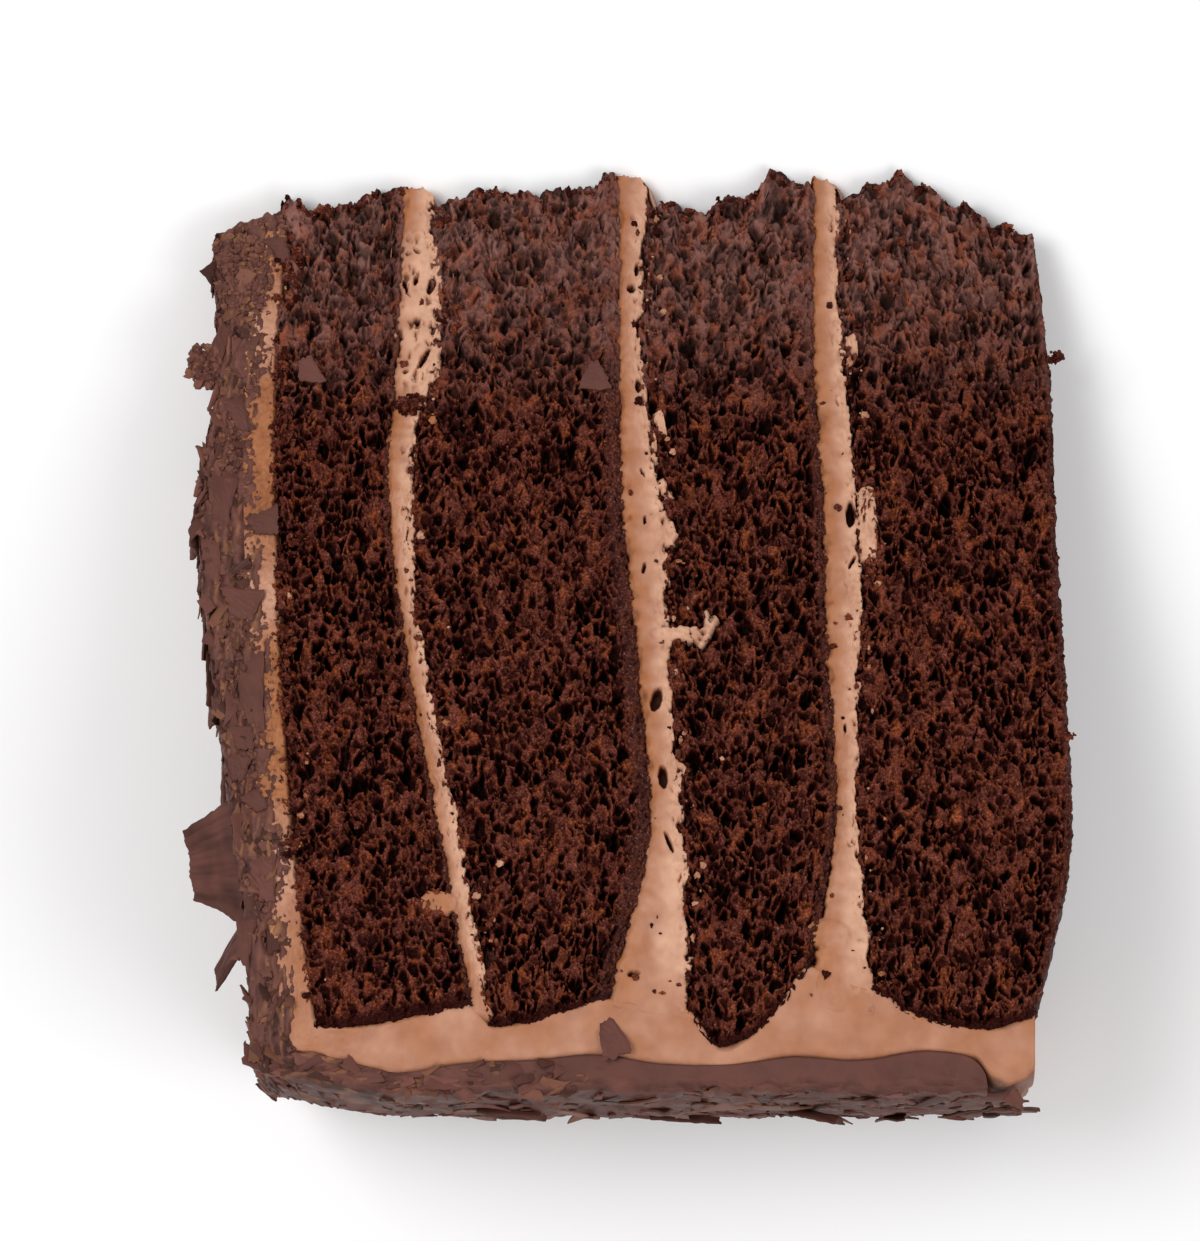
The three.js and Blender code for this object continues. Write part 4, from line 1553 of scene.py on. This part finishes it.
CHIPS = (
    Chip(-5.1, 32.8, 3.4, 4.8, 182.0, 0.9, 0.8), Chip(-3.2, 119.5, 5.2, 4.2, 200.0, 0.45, 0.7),
    Chip(-52.6, 48.9, 6.0, 3.8, -8.0, 0.5), Chip(-47.6, 52.6, 3.2, 3.8, 15.0, 0.8),
    Chip(-50.3, 63.3, 3.8, 4.8, 0.0, 0.4), Chip(-49.3, 75.0, 10.4, 4.3, 5.0, 0.35),
    Chip(-42.3, 31.5, 3.6, 3.0, 195.0, 0.7, 0.5), Chip(-50.1, 81.5, 3.2, 3.4, 10.0, 0.7),
    Chip(-50.4, 85.6, 4.0, 3.0, -6.0, 0.75), Chip(-47.8, 90.2, 3.0, 3.4, 30.0, 0.6),
    Chip(-46.7, 100.0, 4.8, 3.3, 5.0, 0.5), Chip(-47.6, 123.0, 4.2, 3.0, 60.0, -0.6),
    Chip(-53.6, 28.0, 4.2, 2.6, -20.0, 0.3), Chip(-54.0, 58.0, 5.5, 2.2, 3.0, 0.1),
    Chip(-51.0, 38.0, 4.6, 3.2, 10.0, 0.4), Chip(48.0, 127.3, 3.0, 2.6, 50.0, -1.0),
    Chip(-49.4, 108.0, 5.5, 2.6, -4.0, 0.4), Chip(-46.0, 15.0, 3.6, 3.0, 30.0, 0.3),
)

SHARDS = (
    Shard(1, along=89.5, share=0.93, length=7.2, width=15.5, heading=-90, tilt=58, curl=0.3),
    Shard(2, along=97, share=0.84, length=7, width=2.4, heading=-60, tilt=40, curl=0.2),
    Shard(3, along=42, share=0.8, length=7, width=5, heading=20, tilt=6, curl=0.8),
    Shard(4, along=62, share=0.62, length=10, width=6.5, heading=40, tilt=4, curl=1.1),
    Shard(5, along=74, share=0.3, length=9, width=6, heading=-25, tilt=10, curl=0.9),
    Shard(6, along=30, share=0.45, length=7, width=4, heading=10, tilt=5, curl=0.6),
    Shard(7, along=134, share=0.72, length=9, width=6, heading=15, tilt=5, curl=0.9),
    Shard(8, along=156, share=0.36, length=12, width=6.5, heading=-20, tilt=4, curl=1.2),
    Shard(9, along=180, share=0.7, length=8, width=5, heading=30, tilt=12, curl=0.7),
)


@dataclass(frozen=True)
class Cluster:
    """A heap of crumbs on the cut face: its middle, its radii across and along, and how many there are."""

    x: float
    r: float
    across: float
    along: float
    count: int
    proud: float = 0.6
    grain: float = 1.0

    def spots(self, rng: np.random.Generator) -> tuple[Array, Array]:
        """The crumbs' places and sizes, spread evenly and proudest in the middle."""
        turn = rng.uniform(0, 2 * math.pi, self.count)
        out = np.sqrt(rng.uniform(0, 1, self.count))
        proud = self.proud * (1.0 - out**2) + rng.uniform(-0.1, 0.3, self.count)
        x = self.x + self.across * out * np.cos(turn)
        r = self.r + self.along * out * np.sin(turn)
        sizes = self.grain * (0.18 + 0.4 * rng.uniform(0, 1, self.count) ** 2)
        return np.stack([x, r, proud], -1), sizes


CLUSTERS = (
    Cluster(-29.0, 36.3, 1.9, 1.5, 70), Cluster(-44.0, 17.5, 1.2, 3.0, 40),
    Cluster(-45.3, 30.5, 0.9, 2.5, 40), Cluster(-43.0, 55.0, 1.6, 1.4, 24),
    Cluster(-44.3, 68.5, 0.9, 2.0, 24), Cluster(-44.0, 96.0, 1.0, 1.8, 24),
    Cluster(54.6, 29.6, 1.0, 0.8, 24, -0.3), Cluster(55.2, 81.0, 1.3, 0.35, 18, -0.3),
)

COAT_CLUSTERS = (
    Cluster(-55.6, 31.0, 1.9, 2.8, 150, -0.2, 1.5), Cluster(-50.5, 19.0, 3.5, 6.0, 260, 0.3, 1.2),
    Cluster(-52.0, 43.0, 1.6, 5.0, 60, 0.2), Cluster(-51.5, 70.0, 2.0, 6.0, 70, 0.2),
    Cluster(-48.0, 85.0, 1.6, 4.0, 40, 0.2), Cluster(-47.0, 103.0, 1.5, 6.0, 50, 0.2),
)


def with_heaps(placed: Array, sizes: Array, heaps: list[tuple[Array, Array]]) -> tuple[Array, Array]:
    """Spots and sizes with those of the heaps added, and less proud where the slice is thin."""
    placed = np.concatenate([placed] + [spots for spots, _ in heaps])
    placed[:, 2] *= WEDGE.room(placed[:, 1])
    return placed, np.concatenate([sizes] + [grains for _, grains in heaps])


def face_crumbs() -> tuple[Array, Array]:
    """Spots and sizes of sponge crumbs on the cut face: along the torn edges, strewn, and in heaps."""
    rng = np.random.default_rng(11)
    spots = []
    for line, count, spread in ((2, 70, 0.7), (4, 90, 0.8), (6, 70, 0.7), (0, 160, 0.7)):
        x, r = LAYER_LINES[line].at(rng.uniform(0.02, 0.98, count))
        spots.append(np.stack([x + rng.normal(0.9, spread, count), r, rng.uniform(-0.1, 0.2, count)], -1))
    for sponge in SPONGES:
        u = rng.uniform(0.04, 0.96, 60)
        x, r, _, _ = sponge.outline(u, np.zeros_like(u))
        spots.append(np.stack([x, r + rng.uniform(0.0, 1.0, 60), rng.uniform(-0.3, 0.2, 60)], -1))
    count = 500
    share = rng.uniform(0.03, 0.97, count)
    x0, r0 = LAYER_LINES[0].at(share)
    x1, r1 = LAYER_LINES[-1].at(share)
    mix = rng.uniform(0.0, 1.0, count)
    spots.append(np.stack([x0 + (x1 - x0) * mix, r0 + (r1 - r0) * mix, rng.uniform(-0.1, 0.3, count)], -1))
    placed = np.concatenate(spots)
    sizes = 0.16 + 0.42 * rng.uniform(0, 1, len(placed)) ** 2.2
    return with_heaps(placed, sizes, [heap.spots(rng) for heap in CLUSTERS])


def coat_crumbs(coat: ChocolateCoat) -> tuple[Array, Array]:
    """Spots and sizes of chocolate crumbs on the cut top coat, thickest near the tip."""
    rng = np.random.default_rng(13)
    count = 620
    along = 2.6 + TOP_RUN * rng.uniform(0.0, 1.0, count) ** 1.7
    t = rng.uniform(0.0, 0.97, count)
    x, r = coat.band(along + coat.slant(along, t), t, np.ones(count))
    placed = np.stack([x, r, rng.uniform(-0.15, 0.25, count)], -1)
    heaps = [heap.spots(rng) for heap in COAT_CLUSTERS]
    return with_heaps(placed, 0.16 + 0.4 * rng.uniform(0.0, 1.0, count) ** 1.8, heaps)


def cream_bits() -> tuple[Array, Array]:
    """Spots and sizes of bits of cream beside the fillings' torn edges."""
    rng = np.random.default_rng(12)
    spots = []
    for line, count in ((2, 26), (4, 34), (6, 30), (0, 10)):
        x, r = LAYER_LINES[line].at(rng.uniform(0.05, 0.95, count))
        out = 0.6 + rng.exponential(0.9, count)
        spots.append(np.stack([x + out, r, rng.uniform(0.1, 0.4, count)], -1))
    placed = np.concatenate(spots)
    return placed, 0.14 + 0.34 * rng.uniform(0, 1, len(placed)) ** 2.0


def main() -> None:
    """Builds every piece; each one logs its points and triangles."""
    logging.basicConfig(level=logging.INFO, format="%(name)s %(message)s")
    path = CoatPath(SPONGES)
    coat = ChocolateCoat(path)
    for piece in (*SPONGES, *FILLINGS, CreamCoat(path), coat):
        piece.build()
    for shard in SHARDS:
        shard.build(coat)
    loose = (
        Shavings("shavings_top", coat, 700, 10.0, 112.0, 21),
        Shavings("shavings_side", coat, 900, 112.0, path.length - 2.0, 22),
        CutShavings("cut_shavings_top", coat, 420, 9.0, 118.0, 23),
        CutShavings("cut_shavings_side", coat, 70, 118.0, 150.0, 24),
        Chips(CHIPS),
        Crumbs("sponge_crumbs", Finish.SPONGE, *face_crumbs(), 25),
        Crumbs("coat_crumbs", Finish.COATING, *coat_crumbs(coat), 27),
        Crumbs("cream_bits", Finish.CREAM, *cream_bits(), 26, (0.8, 1.0)),
        Studio(),
    )
    for piece in loose:
        piece.build()


if __name__ == "__main__":
    main()
